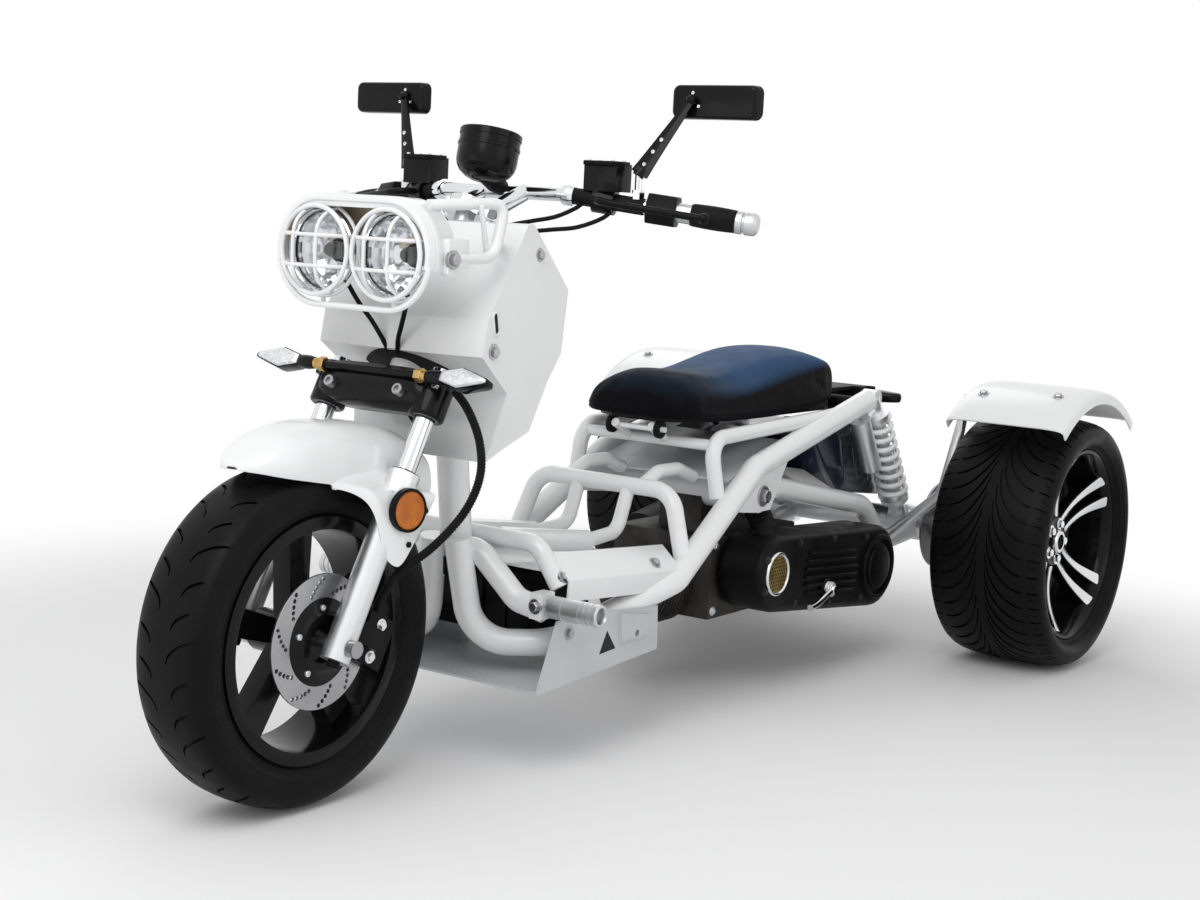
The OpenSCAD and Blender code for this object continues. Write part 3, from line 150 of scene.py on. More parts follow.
def makeFloor(s):
    mesh = bpy.data.meshes.new("studioFloor")
    h = s["half"]
    mesh.from_pydata([(-h, -h, 0), (h, -h, 0), (h, h, 0), (-h, h, 0)], [], [(0, 1, 2, 3)])
    plane = bpy.data.objects.new("studioFloor", mesh)
    scene.collection.objects.link(plane)
    mat, tree, shader = newMaterial("paleFloor")
    fill(shader, {"Base Color": s["colour"], "Roughness": 0.85})
    white = tree.nodes.new("ShaderNodeEmission")
    where = tree.nodes.new("ShaderNodeTexCoord")
    far = tree.nodes.new("ShaderNodeVectorMath")
    far.operation = "LENGTH"
    fade = tree.nodes.new("ShaderNodeMapRange")
    fade.interpolation_type = "SMOOTHSTEP"
    fill(fade, {"From Min": s["fadeFrom"], "From Max": s["fadeTo"]})
    share = tree.nodes.new("ShaderNodeMath")
    share.operation = "MULTIPLY"
    blend = tree.nodes.new("ShaderNodeMixShader")
    connect(tree, [(where, "Object", far, 0), (far, "Value", fade, "Value"), (fade, "Result", share, 0)])
    tree.links.new(seenRay(tree), share.inputs[1])
    connect(tree, [(share, "Value", blend, 0), (shader, 0, blend, 1), (white, 0, blend, 2),
                   (blend, 0, tree.nodes["Material Output"], "Surface")])
    mesh.materials.append(mat)


makeLights(lightSetup)
makeFloor(floorSetup)
scene.view_settings.view_transform = "Standard"
print("camera, light and floor ready")


# surface effects that several finishes share
def shaderGroup(name, inputs, outputs):
    group = bpy.data.node_groups.new(name, "ShaderNodeTree")
    for label, kind, value in inputs:
        group.interface.new_socket(label, in_out="INPUT",
                                   socket_type="NodeSocket" + kind).default_value = value
    for label, kind in outputs:
        group.interface.new_socket(label, in_out="OUTPUT", socket_type="NodeSocket" + kind)
    return group, group.nodes.new("NodeGroupInput"), group.nodes.new("NodeGroupOutput")


def noiseNode(tree, scaleSocket, detail, stretch=None):
    where = tree.nodes.new("ShaderNodeTexCoord")
    noise = tree.nodes.new("ShaderNodeTexNoise")
    noise.inputs["Detail"].default_value = detail
    tree.links.new(scaleSocket, noise.inputs["Scale"])
    if stretch:
        mapping = tree.nodes.new("ShaderNodeMapping")
        mapping.inputs["Scale"].default_value = stretch
        connect(tree, [(where, "Object", mapping, "Vector"), (mapping, "Vector", noise, "Vector")])
    else:
        connect(tree, [(where, "Object", noise, "Vector")])
    return noise


def rangeNode(tree, value, low, high, toLow=None, toHigh=None):
    node = tree.nodes.new("ShaderNodeMapRange")
    fill(node, {"From Min": low, "From Max": high})
    tree.links.new(value, node.inputs["Value"])
    if toLow is not None:
        tree.links.new(toLow, node.inputs["To Min"])
        tree.links.new(toHigh, node.inputs["To Max"])
    return node


def mottleGroup():
    group, into, out = shaderGroup("mottle",
                                   [("Light", "Color", (1, 1, 1, 1)), ("Dark", "Color", (0, 0, 0, 1)),
                                    ("Scale", "Float", 8.0)], [("Color", "Color"), ("Mask", "Float")])
    noise = noiseNode(group, into.outputs["Scale"], 5)
    mask = rangeNode(group, noise.outputs["Fac"], 0.32, 0.68)
    mix = group.nodes.new("ShaderNodeMix")
    mix.data_type = "RGBA"
    connect(group, [(mask, "Result", mix, "Factor"), (into, "Dark", mix, 6), (into, "Light", mix, 7),
                    (mix, 2, out, "Color"), (mask, "Result", out, "Mask")])
    return group


def smudgeGroup():
    group, into, out = shaderGroup("smudge", [("Scale", "Float", 20.0), ("Smooth", "Float", 0.2),
                                              ("Rough", "Float", 0.4)], [("Roughness", "Float")])
    noise = noiseNode(group, into.outputs["Scale"], 4)
    span = rangeNode(group, noise.outputs["Fac"], 0.3, 0.7, into.outputs["Smooth"], into.outputs["Rough"])
    connect(group, [(span, "Result", out, "Roughness")])
    return group


def reliefGroup(name, scale, detail, stretch=None):
    group, into, out = shaderGroup(name, [("Scale", "Float", scale)], [("Height", "Float")])
    noise = noiseNode(group, into.outputs["Scale"], detail, stretch)
    connect(group, [(noise, "Fac", out, "Height")])
    return group


def hideGroup():
    group, into, out = shaderGroup("hide", [("Scale", "Float", 300.0)], [("Height", "Float")])
    where = group.nodes.new("ShaderNodeTexCoord")
    cells = group.nodes.new("ShaderNodeTexVoronoi")
    cells.feature = "DISTANCE_TO_EDGE"
    connect(group, [(where, "Object", cells, "Vector"), (into, "Scale", cells, "Scale")])
    span = rangeNode(group, cells.outputs["Distance"], 0.0, 0.22)
    connect(group, [(span, "Result", out, "Height")])
    return group


effects = dict(mottle=mottleGroup(), smudge=smudgeGroup(), hide=hideGroup(),
               grain=reliefGroup("grain", 800.0, 2),
               brushed=reliefGroup("brushed", 60.0, 3, (1.0, 14.0, 14.0)))


def useEffect(tree, name, **values):
    node = tree.nodes.new("ShaderNodeGroup")
    node.node_tree = effects[name]
    fill(node, values)
    return node


def makeFinish(name, s):
    mat, tree, shader = newMaterial(name)
    mottle = useEffect(tree, "mottle", Light=(*s["light"], 1), Dark=(*s["dark"], 1),
                       Scale=s.get("tint", 7.0))
    smudge = useEffect(tree, "smudge", Scale=s.get("smudge", 26.0), Smooth=s["rough"][0],
                       Rough=s["rough"][1])
    relief = useEffect(tree, s.get("relief", "grain"), Scale=s.get("fine", 900.0))
    bump = tree.nodes.new("ShaderNodeBump")
    fill(bump, {"Strength": s.get("bump", 0.1), "Distance": s.get("deep", 0.0004)})
    colour = mottle.outputs["Color"]
    # a second colour mixed in by a per-place share: on the seat, a painted reflection of the sky on its
    # up-facing top
    if "top" in s:
        panel = tree.nodes.new("ShaderNodeAttribute")
        panel.attribute_name = "topPanel"
        mix = tree.nodes.new("ShaderNodeMix")
        mix.data_type = "RGBA"
        connect(tree, [(panel, "Fac", mix, "Factor")])
        tree.links.new(colour, mix.inputs[6])
        mix.inputs[7].default_value = (*s["top"], 1)
        colour = mix.outputs[2]
    tree.links.new(colour, shader.inputs["Base Color"])
    connect(tree, [(smudge, "Roughness", shader, "Roughness"), (relief, "Height", bump, "Height"),
                   (bump, "Normal", shader, "Normal")])
    fill(shader, s.get("sockets", {}))
    return mat


finishes = dict(
    whitePaint=dict(light=(0.84, 0.845, 0.85), dark=(0.836, 0.841, 0.846), tint=3.0, smudge=4.0,
                    rough=(0.25, 0.265), fine=260.0, bump=0.01,
                    sockets={"Coat Weight": 0.3, "Coat Roughness": 0.08}),
    greyPaint=dict(light=(0.60, 0.61, 0.63), dark=(0.52, 0.53, 0.55), rough=(0.3, 0.45), bump=0.08),
    blackGloss=dict(light=(0.006, 0.006, 0.007), dark=(0.004, 0.004, 0.0045), rough=(0.12, 0.26), bump=0.04,
                    sockets={"Specular IOR Level": 0.13, "Coat Weight": 0.06, "Coat Roughness": 0.05}),
    blackPlastic=dict(light=(0.005, 0.005, 0.0055), dark=(0.003, 0.003, 0.0035), rough=(0.32, 0.5),
                      fine=1500.0, bump=0.25, sockets={"Specular IOR Level": 0.11}),
    blackRubber=dict(light=(0.006, 0.006, 0.0065), dark=(0.004, 0.004, 0.0045), rough=(0.5, 0.7),
                     fine=1200.0, bump=0.2, sockets={"Specular IOR Level": 0.13}),
    tyreRubber=dict(light=(0.005, 0.005, 0.0055), dark=(0.003, 0.003, 0.0035), tint=14.0, rough=(0.36, 0.52),
                    fine=1100.0, bump=0.2, sockets={"Specular IOR Level": 0.1}),
    brightChrome=dict(light=(0.80, 0.81, 0.83), dark=(0.72, 0.73, 0.75), rough=(0.05, 0.14), bump=0.02,
                      sockets={"Metallic": 1.0}),
    satinAlloy=dict(light=(0.84, 0.85, 0.86), dark=(0.76, 0.77, 0.78), rough=(0.34, 0.48), relief="brushed",
                    fine=40.0, bump=0.12, sockets={"Metallic": 1.0}),
    groundSteel=dict(light=(0.50, 0.50, 0.51), dark=(0.36, 0.36, 0.37), rough=(0.24, 0.4), relief="brushed",
                     fine=60.0, bump=0.15, sockets={"Metallic": 1.0}),
    castMetal=dict(light=(0.062, 0.058, 0.052), dark=(0.03, 0.028, 0.025), tint=18.0, rough=(0.42, 0.62),
                   fine=420.0, bump=0.35, sockets={"Metallic": 0.75}),
    # top: a blue painted reflection of the sky, laid where the seat faces up
    seatVinyl=dict(light=(0.005, 0.005, 0.006), dark=(0.004, 0.004, 0.005), top=(0.034, 0.078, 0.165),
                   rough=(0.44, 0.56), relief="hide", fine=520.0, bump=0.16, deep=0.0003,
                   sockets={"Specular IOR Level": 0.03}),
    navyGloss=dict(light=(0.010, 0.013, 0.028), dark=(0.006, 0.008, 0.017), rough=(0.1, 0.24), bump=0.03,
                   sockets={"Coat Weight": 0.5, "Coat Roughness": 0.05}),
    machinedSilver=dict(light=(0.76, 0.77, 0.78), dark=(0.68, 0.69, 0.70), rough=(0.16, 0.28),
                        relief="brushed", fine=90.0, bump=0.08, sockets={"Metallic": 1.0}),
    dullAlloy=dict(light=(0.64, 0.645, 0.65), dark=(0.54, 0.545, 0.55), rough=(0.32, 0.46), relief="brushed",
                   fine=50.0, bump=0.1, sockets={"Metallic": 1.0}),
    brassMesh=dict(light=(0.36, 0.28, 0.11), dark=(0.20, 0.15, 0.055), tint=40.0, rough=(0.3, 0.5),
                   sockets={"Metallic": 1.0}),
    brass=dict(light=(0.62, 0.42, 0.16), dark=(0.45, 0.29, 0.10), rough=(0.25, 0.4),
               sockets={"Metallic": 1.0}),
    # near-black painted shade, for the insides of hollows, holes, slots and notches where only shade falls
    darkGap=dict(light=(0.004, 0.004, 0.004), dark=(0.002, 0.002, 0.002), rough=(0.7, 0.9)),
    amberLens=dict(light=(0.60, 0.165, 0.006), dark=(0.42, 0.10, 0.004), tint=60.0, rough=(0.1, 0.2),
                   relief="hide", fine=260.0, bump=0.5,
                   sockets={"Specular IOR Level": 0.25, "Coat Weight": 0.3, "Coat Roughness": 0.04}),
    redLens=dict(light=(0.42, 0.01, 0.01), dark=(0.26, 0.005, 0.006), tint=40.0, rough=(0.1, 0.2),
                 relief="hide", fine=220.0, bump=0.5, sockets={"Coat Weight": 0.7, "Coat Roughness": 0.04}),
    tanShade=dict(light=(0.80, 0.69, 0.52), dark=(0.72, 0.61, 0.45), tint=14.0, rough=(0.5, 0.7)),
    facetLens=dict(light=(0.86, 0.87, 0.89), dark=(0.58, 0.59, 0.62), tint=260.0, rough=(0.06, 0.16),
                   relief="hide", fine=240.0, bump=0.6,
                   sockets={"Coat Weight": 1.0, "Coat Roughness": 0.03, "Metallic": 0.25}),
    needleOrange=dict(light=(0.62, 0.16, 0.02), dark=(0.45, 0.1, 0.012), rough=(0.35, 0.5)),
)
looks = {name: makeFinish(name, s) for name, s in finishes.items()}


def makeGlass(name, colour, rough, bumpScale, bump):
    mat, tree, shader = newMaterial(name)
    fill(shader, {"Base Color": (*colour, 1), "Roughness": rough, "IOR": 1.47, "Transmission Weight": 1.0})
    relief = useEffect(tree, "hide", Scale=bumpScale)
    lift = tree.nodes.new("ShaderNodeBump")
    fill(lift, {"Strength": bump, "Distance": 0.0006})
    connect(tree, [(relief, "Height", lift, "Height"), (lift, "Normal", shader, "Normal")])
    return mat


looks["clearLens"] = makeGlass("clearLens", (0.97, 0.98, 0.99), 0.02, 40.0, 0.05)

slotLooks = dict(white_paint="whitePaint", black_gloss_paint="blackGloss", black_plastic="blackPlastic",
                 black_rubber="blackRubber", tyre_rubber="tyreRubber", polished_chrome="brightChrome",
                 satin_aluminium="satinAlloy", bare_steel="groundSteel", cast_metal="castMetal",
                 seat_vinyl="seatVinyl", tank_navy="navyGloss", lamp_glass="clearLens",
                 grey_panel="greyPaint")


def dressNodes():
    for part in frame["record"]["subparts"]:
        mesh = nodes[part["node"]].data
        mesh.materials.clear()
        mesh.materials.append(looks[slotLooks[part["material_slot"]]])


dressNodes()
print("finishes ready:", len(looks))


# mesh helpers, all in millimetres
def newBag():
    return dict(verts=[], faces=[], looks=[])


def put(bag, shape, look=0):
    verts, faces = shape
    base = len(bag["verts"])
    bag["verts"] += [Vector(v) for v in verts]
    bag["faces"] += [[base + i for i in face] for face in faces]
    bag["looks"] += [look] * len(faces)


def both(bag, shape, look=0):
    verts, faces = shape
    put(bag, shape, look)
    put(bag, ([Vector((v[0], -v[1], v[2])) for v in verts], [list(reversed(f)) for f in faces]), look)


def axesFor(axis, hint=None):
    z = Vector(axis).normalized()
    x = Vector(hint) - z * z.dot(Vector(hint)) if hint else z.orthogonal()
    x = x.normalized()
    return x, z.cross(x), z


def lathe(profile, origin, axis, steps=48, ring=False, hint=None):
    x, y, z = axesFor(axis, hint)
    origin = Vector(origin)
    verts, rows = [], []
    for r, h in profile:
        count = 1 if r < 1e-6 else steps
        rows.append([len(verts) + k for k in range(count)])
        for k in range(count):
            a = 2 * pi * k / steps
            verts.append(origin + z * h + (x * cos(a) + y * sin(a)) * r)
    faces = []
    for a, b in list(zip(rows, rows[1:])) + ([(rows[-1], rows[0])] if ring else []):
        for k in range(steps):
            n = (k + 1) % steps
            loop = [a[k % len(a)], a[n % len(a)], b[n % len(b)], b[k % len(b)]]
            loop = [v for i, v in enumerate(loop) if v not in loop[:i]]
            if len(loop) > 2:
                faces.append(loop)
    if not ring:
        faces += [row for row in (rows[0][::-1], rows[-1]) if len(row) > 2]
    return verts, faces


def smoothPath(points, perSpan=6):
    pts = [Vector(p) for p in points]
    pts = [2 * pts[0] - pts[1]] + pts + [2 * pts[-1] - pts[-2]]
    path = []
    for i in range(1, len(pts) - 2):
        a, b, c, d = pts[i - 1:i + 3]
        for k in range(perSpan):
            t = k / perSpan
            path.append(0.5 * (2 * b + (c - a) * t + (2 * a - 5 * b + 4 * c - d) * t * t
                               + (3 * b - a - 3 * c + d) * t ** 3))
    return path + [pts[-2]]


def tube(path, radius, sides=10, closed=False):
    pts = [Vector(p) for p in path]
    count = len(pts)
    radii = radius if isinstance(radius, (list, tuple)) else [radius] * count
    ahead = [(pts[(i + 1) % count] - pts[i - 1] if closed else
              pts[min(i + 1, count - 1)] - pts[max(i - 1, 0)]).normalized() for i in range(count)]
    x = ahead[0].orthogonal().normalized()
    verts = []
    for i in range(count):
        x = (x - ahead[i] * x.dot(ahead[i])).normalized()
        y = ahead[i].cross(x)
        verts += [pts[i] + (x * cos(a) + y * sin(a)) * radii[i]
                  for a in (2 * pi * k / sides for k in range(sides))]
    faces = [[i * sides + k, i * sides + (k + 1) % sides, (i + 1) % count * sides + (k + 1) % sides,
              (i + 1) % count * sides + k] for i in range(count if closed else count - 1)
             for k in range(sides)]
    if not closed:
        faces += [list(range(sides))[::-1], [(count - 1) * sides + k for k in range(sides)]]
    return verts, faces


def prism(outline, origin, x, y, thick):
    x, y = Vector(x).normalized(), Vector(y).normalized()
    z = x.cross(y)
    low = [Vector(origin) + x * a + y * b for a, b in outline]
    count = len(low)
    faces = [list(range(count))[::-1], list(range(count, 2 * count))]
    faces += [[k, (k + 1) % count, count + (k + 1) % count, count + k] for k in range(count)]
    return low + [p + z * thick for p in low], faces


def loft(sections):
    # closed rings with equal counts, capped at both ends
    sides = len(sections[0])
    verts = [Vector(p) for ring in sections for p in ring]
    last = (len(sections) - 1) * sides
    faces = [[i * sides + k, i * sides + (k + 1) % sides, (i + 1) * sides + (k + 1) % sides,
              (i + 1) * sides + k]
             for i in range(len(sections) - 1) for k in range(sides)]
    return verts, faces + [list(range(sides))[::-1], [last + k for k in range(sides)]]


def gridFaces(rows, wide):
    return [[i * wide + k, i * wide + k + 1, (i + 1) * wide + k + 1, (i + 1) * wide + k]
            for i in range(rows - 1) for k in range(wide - 1)]


def circle(mid, u, w, r, steps):
    turns = [2 * pi * k / steps for k in range(steps)]
    return [mid + (u * cos(a) + w * sin(a)) * r for a in turns]


def roundRect(w, h, r, steps=4):
    points = []
    for cx, cy, start in ((w / 2 - r, h / 2 - r, 0), (r - w / 2, h / 2 - r, 90), (r - w / 2, r - h / 2, 180),
                          (w / 2 - r, r - h / 2, 270)):
        for k in range(steps + 1):
            a = radians(start + 90 * k / steps)
            points.append((cx + r * cos(a), cy + r * sin(a)))
    return points


def linkMesh(name, mesh):
    obj = bpy.data.objects.new(name, mesh)
    scene.collection.objects.link(obj)
    return obj


def bagMesh(name, bag, lookNames):
    mesh = bpy.data.meshes.new(name)
    mesh.from_pydata([v * mm for v in bag["verts"]], [], bag["faces"])
    for look in lookNames:
        mesh.materials.append(looks[look])
    mesh.polygons.foreach_set("material_index", bag["looks"])
    work = bmesh.new()
    work.from_mesh(mesh)
    bmesh.ops.recalc_face_normals(work, faces=work.faces)
    work.to_mesh(mesh)
    work.free()
    return mesh


def shadeByAngle(mesh, degrees):
    mesh.shade_smooth()
    mesh.set_sharp_from_angle(angle=radians(degrees))


def settle(obj):
    # every modifier becomes plain mesh
    bpy.context.view_layer.update()
    ready = obj.evaluated_get(bpy.context.evaluated_depsgraph_get())
    mesh = bpy.data.meshes.new_from_object(ready)
    obj.modifiers.clear()
    old = obj.data
    obj.data = mesh
    mesh.name = obj.name
    bpy.data.meshes.remove(old)
    return obj


def addBevel(obj, width, segments=2, degrees=38):
    bevel = obj.modifiers.new("edges", "BEVEL")
    bevel.width = width * mm
    bevel.segments = segments
    bevel.limit_method = "ANGLE"
    bevel.angle_limit = radians(degrees)
    bevel.harden_normals = False
    return obj


def addWall(obj, thick, offset):
    wall = obj.modifiers.new("wall", "SOLIDIFY")
    wall.thickness, wall.offset = thick * mm, offset


def addRounder(obj, levels):
    rounder = obj.modifiers.new("rounder", "SUBSURF")
    rounder.levels = rounder.render_levels = levels


def enter(obj, body, replaces=()):
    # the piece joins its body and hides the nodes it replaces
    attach(obj, body)
    if replaces:
        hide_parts(*replaces)
    return obj


def makePiece(name, bag, lookNames, body, replaces=(), bevel=0, sharp=36):
    obj = linkMesh(name, bagMesh(name, bag, lookNames))
    if bevel:
        settle(addBevel(obj, bevel))
    shadeByAngle(obj.data, sharp)
    return enter(obj, body, replaces)


softEdges = dict(merge=0.00002, flat=1.2, bevelFrom=30, sharp=40)


def softCopy(node, name, look, body, bevel, segments=3):
    # a copy of a CAD node with its seams merged and its hard edges rounded
    mesh = nodes[node].data.copy()
    mesh.materials.clear()
    mesh.materials.append(looks[look])
    work = bmesh.new()
    work.from_mesh(mesh)
    bmesh.ops.remove_doubles(work, verts=work.verts, dist=softEdges["merge"])
    bmesh.ops.dissolve_limit(work, angle_limit=radians(softEdges["flat"]), verts=work.verts,
                             edges=work.edges)
    for face in work.faces:
        face.material_index = 0
    work.to_mesh(mesh)
    work.free()
    for layer in [a.name for a in mesh.attributes if a.name == "custom_normal"]:
        mesh.attributes.remove(mesh.attributes[layer])
    obj = linkMesh(name, mesh)
    settle(addBevel(obj, bevel, segments, softEdges["bevelFrom"]))
    shadeByAngle(obj.data, softEdges["sharp"])
    return enter(obj, body, (node,))


# cords: the ribbed brake hose from bridge to caliper, the lamp leads, and the leads from the bar to the head
cords = dict(
    brakeHose=dict(diameter=13.0, body="steering", replaces=("brake_hose",), rib=4.4, ribDeep=0.9, routes=[
        [(660, 132, 592), (662, 152, 576), (666, 173, 552), (669, 188, 524), (671, 194, 490),
         (676, 190, 458), (683, 177, 426), (696, 160, 397), (713, 142, 371), (732, 124, 350),
         (748, 110, 332), (754, 98, 312), (753, 86, 294), (750, 78, 278)]]),
    lampLead=dict(diameter=7.2, body="chassis", routes=[
        [(688, -58, 738), (680, -51, 720), (672, -42, 702), (664, -28, 682), (656, -16, 660),
         (648, -8, 640)],
        [(688, 60, 738), (682, 54, 718), (675, 44, 698), (667, 32, 678), (659, 20, 658), (650, 12, 638)]]),
    barLead=dict(diameter=6.8, body="steering", routes=[
        [(388, 150, 872), (408, 146, 860), (430, 126, 846), (446, 96, 838), (453, 60, 830), (450, 26, 818),
         (442, 8, 800)],
        [(374, 196, 866), (396, 190, 848), (420, 160, 832), (436, 122, 826), (446, 82, 820), (446, 46, 810),
         (438, 22, 796)]], mirrored=True))


def pathLength(path):
    return sum((b - a).length for a, b in zip(path, path[1:]))


def evenPath(path, steps):
    marks = [0.0]
    for a, b in zip(path, path[1:]):
        marks.append(marks[-1] + (b - a).length)
    even, k = [], 0
    for i in range(steps + 1):
        at = marks[-1] * i / steps
        while k < len(path) - 2 and marks[k + 1] < at:
            k += 1
        even.append(path[k].lerp(path[k + 1], (at - marks[k]) / (marks[k + 1] - marks[k])))
    return even


def makeCord(name, s, route):
    path = smoothPath(route, 12)
    length = pathLength(path)
    radii = s["diameter"] / 2
    if "rib" in s:
        path = evenPath(path, 4 * int(length / s["rib"]))
        radii = [s["diameter"] / 2 - (s["ribDeep"] if k % 4 in (1, 2) else 0) for k in range(len(path))]
    bag = newBag()
    put(bag, tube(path, radii, 14))
    piece = makePiece(name, bag, ["blackRubber"], s["body"], s.get("replaces", ()), sharp=70)
    print(name, "length", round(length), "mm")


for cordName, cordSet in cords.items():
    cordRoutes = list(cordSet["routes"])
    if cordSet.get("mirrored"):
        cordRoutes += [[(x, -y, z) for x, y, z in route] for route in cordSet["routes"]]
    for i, cordRoute in enumerate(cordRoutes):
        makeCord(cordName + (str(i + 1) if len(cordRoutes) > 1 else ""), cordSet, cordRoute)


# node trees for what repeats
def growTree(name, inputs):
    tree = bpy.data.node_groups.new(name, "GeometryNodeTree")
    tree.interface.new_socket("Geometry", in_out="INPUT", socket_type="NodeSocketGeometry")
    for label, kind in inputs:
        tree.interface.new_socket(label, in_out="INPUT", socket_type="NodeSocket" + kind)
    tree.interface.new_socket("Geometry", in_out="OUTPUT", socket_type="NodeSocketGeometry")
    return tree, tree.nodes.new("NodeGroupInput"), tree.nodes.new("NodeGroupOutput")


def endTree(tree, geometry, material, out):
    real = tree.nodes.new("GeometryNodeRealizeInstances")
    paint = tree.nodes.new("GeometryNodeSetMaterial")
    tree.links.new(geometry, real.inputs["Geometry"])
    connect(tree, [(real, "Geometry", paint, "Geometry")])
    tree.links.new(material, paint.inputs["Material"])
    connect(tree, [(paint, "Geometry", out, "Geometry")])


def endCut(tree, into, copies, material, out):
    # the copies are cut out of what comes in
    real = tree.nodes.new("GeometryNodeRealizeInstances")
    cut = tree.nodes.new("GeometryNodeMeshBoolean")
    cut.operation, cut.solver = "DIFFERENCE", "MANIFOLD"
    connect(tree, [(copies, 0, real, 0), (into, "Geometry", cut, "Mesh 1"), (real, 0, cut, "Mesh 2")])
    endTree(tree, cut.outputs["Mesh"], into.outputs[material], out)


def runTree(obj, tree, **values):
    grow = obj.modifiers.new(tree.name, "NODES")
    grow.node_group = tree
    for item in tree.interface.items_tree:
        if item.in_out == "INPUT" and item.name.replace(" ", "") in values:
            grow[item.identifier] = values[item.name.replace(" ", "")]
    return settle(obj)


# cuts a groove pattern out of a tyre: one pitch of cutters, repeated around the axle
def treadTree():
    tree, into, out = growTree("treadCut", [("Pitch", "Object"), ("Count", "Int"), ("Rubber", "Material")])
    pitch = tree.nodes.new("GeometryNodeObjectInfo")
    spots = tree.nodes.new("GeometryNodePoints")
    index = tree.nodes.new("GeometryNodeInputIndex")
    share = tree.nodes.new("ShaderNodeMath")
    share.operation = "DIVIDE"
    angle = tree.nodes.new("ShaderNodeMath")
    angle.operation = "MULTIPLY"
    angle.inputs[1].default_value = 2 * pi
    turn = tree.nodes.new("ShaderNodeCombineXYZ")
    copies = tree.nodes.new("GeometryNodeInstanceOnPoints")
    connect(tree, [(into, "Pitch", pitch, "Object"), (into, "Count", spots, "Count"), (index, 0, share, 0),
                   (into, "Count", share, 1), (share, 0, angle, 0), (angle, 0, turn, "Y"),
                   (spots, 0, copies, "Points"), (pitch, "Geometry", copies, "Instance"),
                   (turn, 0, copies, "Rotation")])
    endCut(tree, into, copies, "Rubber", out)
    return tree


trees = dict(tread=treadTree())
tyreShares = [(0, 0.78), (0.08, 0.785), (0.16, 0.80), (0.23, 0.86), (0.30, 0.92), (0.39, 0.975), (0.48, 1.0),
              (0.57, 0.998), (0.66, 0.985), (0.73, 0.965), (0.80, 0.93), (0.855, 0.875), (0.90, 0.80),
              (0.935, 0.69), (0.96, 0.58), (0.978, 0.44), (0.99, 0.30), (0.997, 0.15), (1, 0)]


def tyreSurface(s, y):
    # radius of the tyre's outer face at a place across it
    share = min(abs(y) / (s["width"] / 2), 0.985)
    for (ra, wa), (rb, wb) in zip(tyreShares[8:], tyreShares[9:]):
        if wb <= share <= wa:
            r = ra + (rb - ra) * (wa - share) / (wa - wb)
            return s["seat"] + (s["outer"] - s["seat"]) * r
    return s["seat"] + (s["outer"] - s["seat"]) * 0.66


def groove(s, line, width, deep):
    # a strip cutter that follows (angle, y) places over the tyre, in a frame centred on the axle
    spots = []
    for angle, y in line:
        spots.append((angle, y, tyreSurface(s, y)))
    rings = []
    for i, (angle, y, r) in enumerate(spots):
        def at(a, yy, rr):
            return Vector((rr * cos(a), yy, rr * sin(a)))
        before, after = spots[max(i - 1, 0)], spots[min(i + 1, len(spots) - 1)]
        along = (at(*after) - at(*before)).normalized()
        slope = (tyreSurface(s, y + 1) - tyreSurface(s, y - 1)) / 2
        out = (Vector((cos(angle), 0, sin(angle))) - Vector((0, slope, 0))).normalized()
        across = out.cross(along).normalized()
        taper = 0.7 if i == len(spots) - 1 else min(1.0, 0.5 + 1.4 * i / (len(spots) - 1))
        half = width / 2 * taper
        mid = at(angle, y, r)
        rings.append([mid + across * half + out * 4, mid - across * half + out * 4,
                      mid - across * half * 0.7 - out * deep * taper,
                      mid + across * half * 0.7 - out * deep * taper])
    return loft(rings)


def tyreBody(s):
    wall = [(s["seat"] + 0.3 + (s["outer"] - s["seat"] - 0.3) * r, s["width"] / 2 * w)
            for r, w in tyreShares]
    # two moulded beads around the side wall
    for place in s["beads"]:
        k = next(i for i, (r, h) in enumerate(wall) if r > place)
        (ra, ha), (rb, hb) = wall[k - 1], wall[k]
        lift = []
        for step, rise in ((-2.4, 0), (-1.2, 1.3), (1.2, 1.3), (2.4, 0)):
            t = (place + step - ra) / (rb - ra)
            lift.append((place + step, min(ha + (hb - ha) * t + rise, s["width"] / 2)))
        wall[k:k] = lift
    return lathe(wall + [(r, -h) for r, h in wall[-2::-1]], (0, 0, 0), leftward, s["steps"], ring=True,
                 hint=(1, 0, 0))


frontTyre = dict(outer=243.0, seat=166.0, width=128.0, steps=192, beads=[183.0, 200.0], pitches=11,
                 # each crescent: from, to, turn; then width and depth
                 crescents=((12, 56, 0.15), (20, 47, 0.10), (15, 40, 0.10)), cut=(5.4, 4.4))
rearTyre = dict(outer=248.0, seat=178.0, width=235.0, steps=192, beads=[190.5, 198.0], pitches=46,
                # the long groove: turn, from, across; then width and depth
                sweep=(0.42, 9, 73), cut=(5.6, 5.2),
                # a cut between shoulder blocks, a sipe in each: shift, from, gap, places, width, depth
                blocks=((0, 90, 5.2, 5, 4.6, 4.6), (0.5, 97, 3.6, 4, 2.2, 3.0)))


def frontPitch(s):
    bag = newBag()
    step = 2 * pi / s["pitches"]
    # three crescents on each side, the long one out to the shoulder
    for side, shift in ((1, 0.0), (-1, 0.5)):
        for k, (inner, outer, sweep) in enumerate(s["crescents"]):
            a0 = -step * (shift + k / 3.0)
            line = []
            for i in range(9):
                t = i / 8
                line.append((a0 + sweep * (t ** 0.6), side * (inner + (outer - inner) * t ** 1.25)))
            put(bag, groove(s, line, *s["cut"]))
    return bag


def rearPitch(s):
    bag = newBag()
    step = 2 * pi / s["pitches"]
    turn, first, across = s["sweep"]
    for side, start in ((1, 0.0), (-1, 0.5)):
        line = []
        for i in range(15):
            t = i / 14
            line.append((step * start - turn * (1 - (1 - t) ** 1.7), side * (first + across * t ** 1.55)))
        put(bag, groove(s, line, *s["cut"]))
        end = line[-1][0]
        for shift, inner, gap, places, width, deep in s["blocks"]:
            line = [(end - step * shift - 0.004 * i, side * (inner + i * gap)) for i in range(places)]
            put(bag, groove(s, line, width, deep))
    return bag


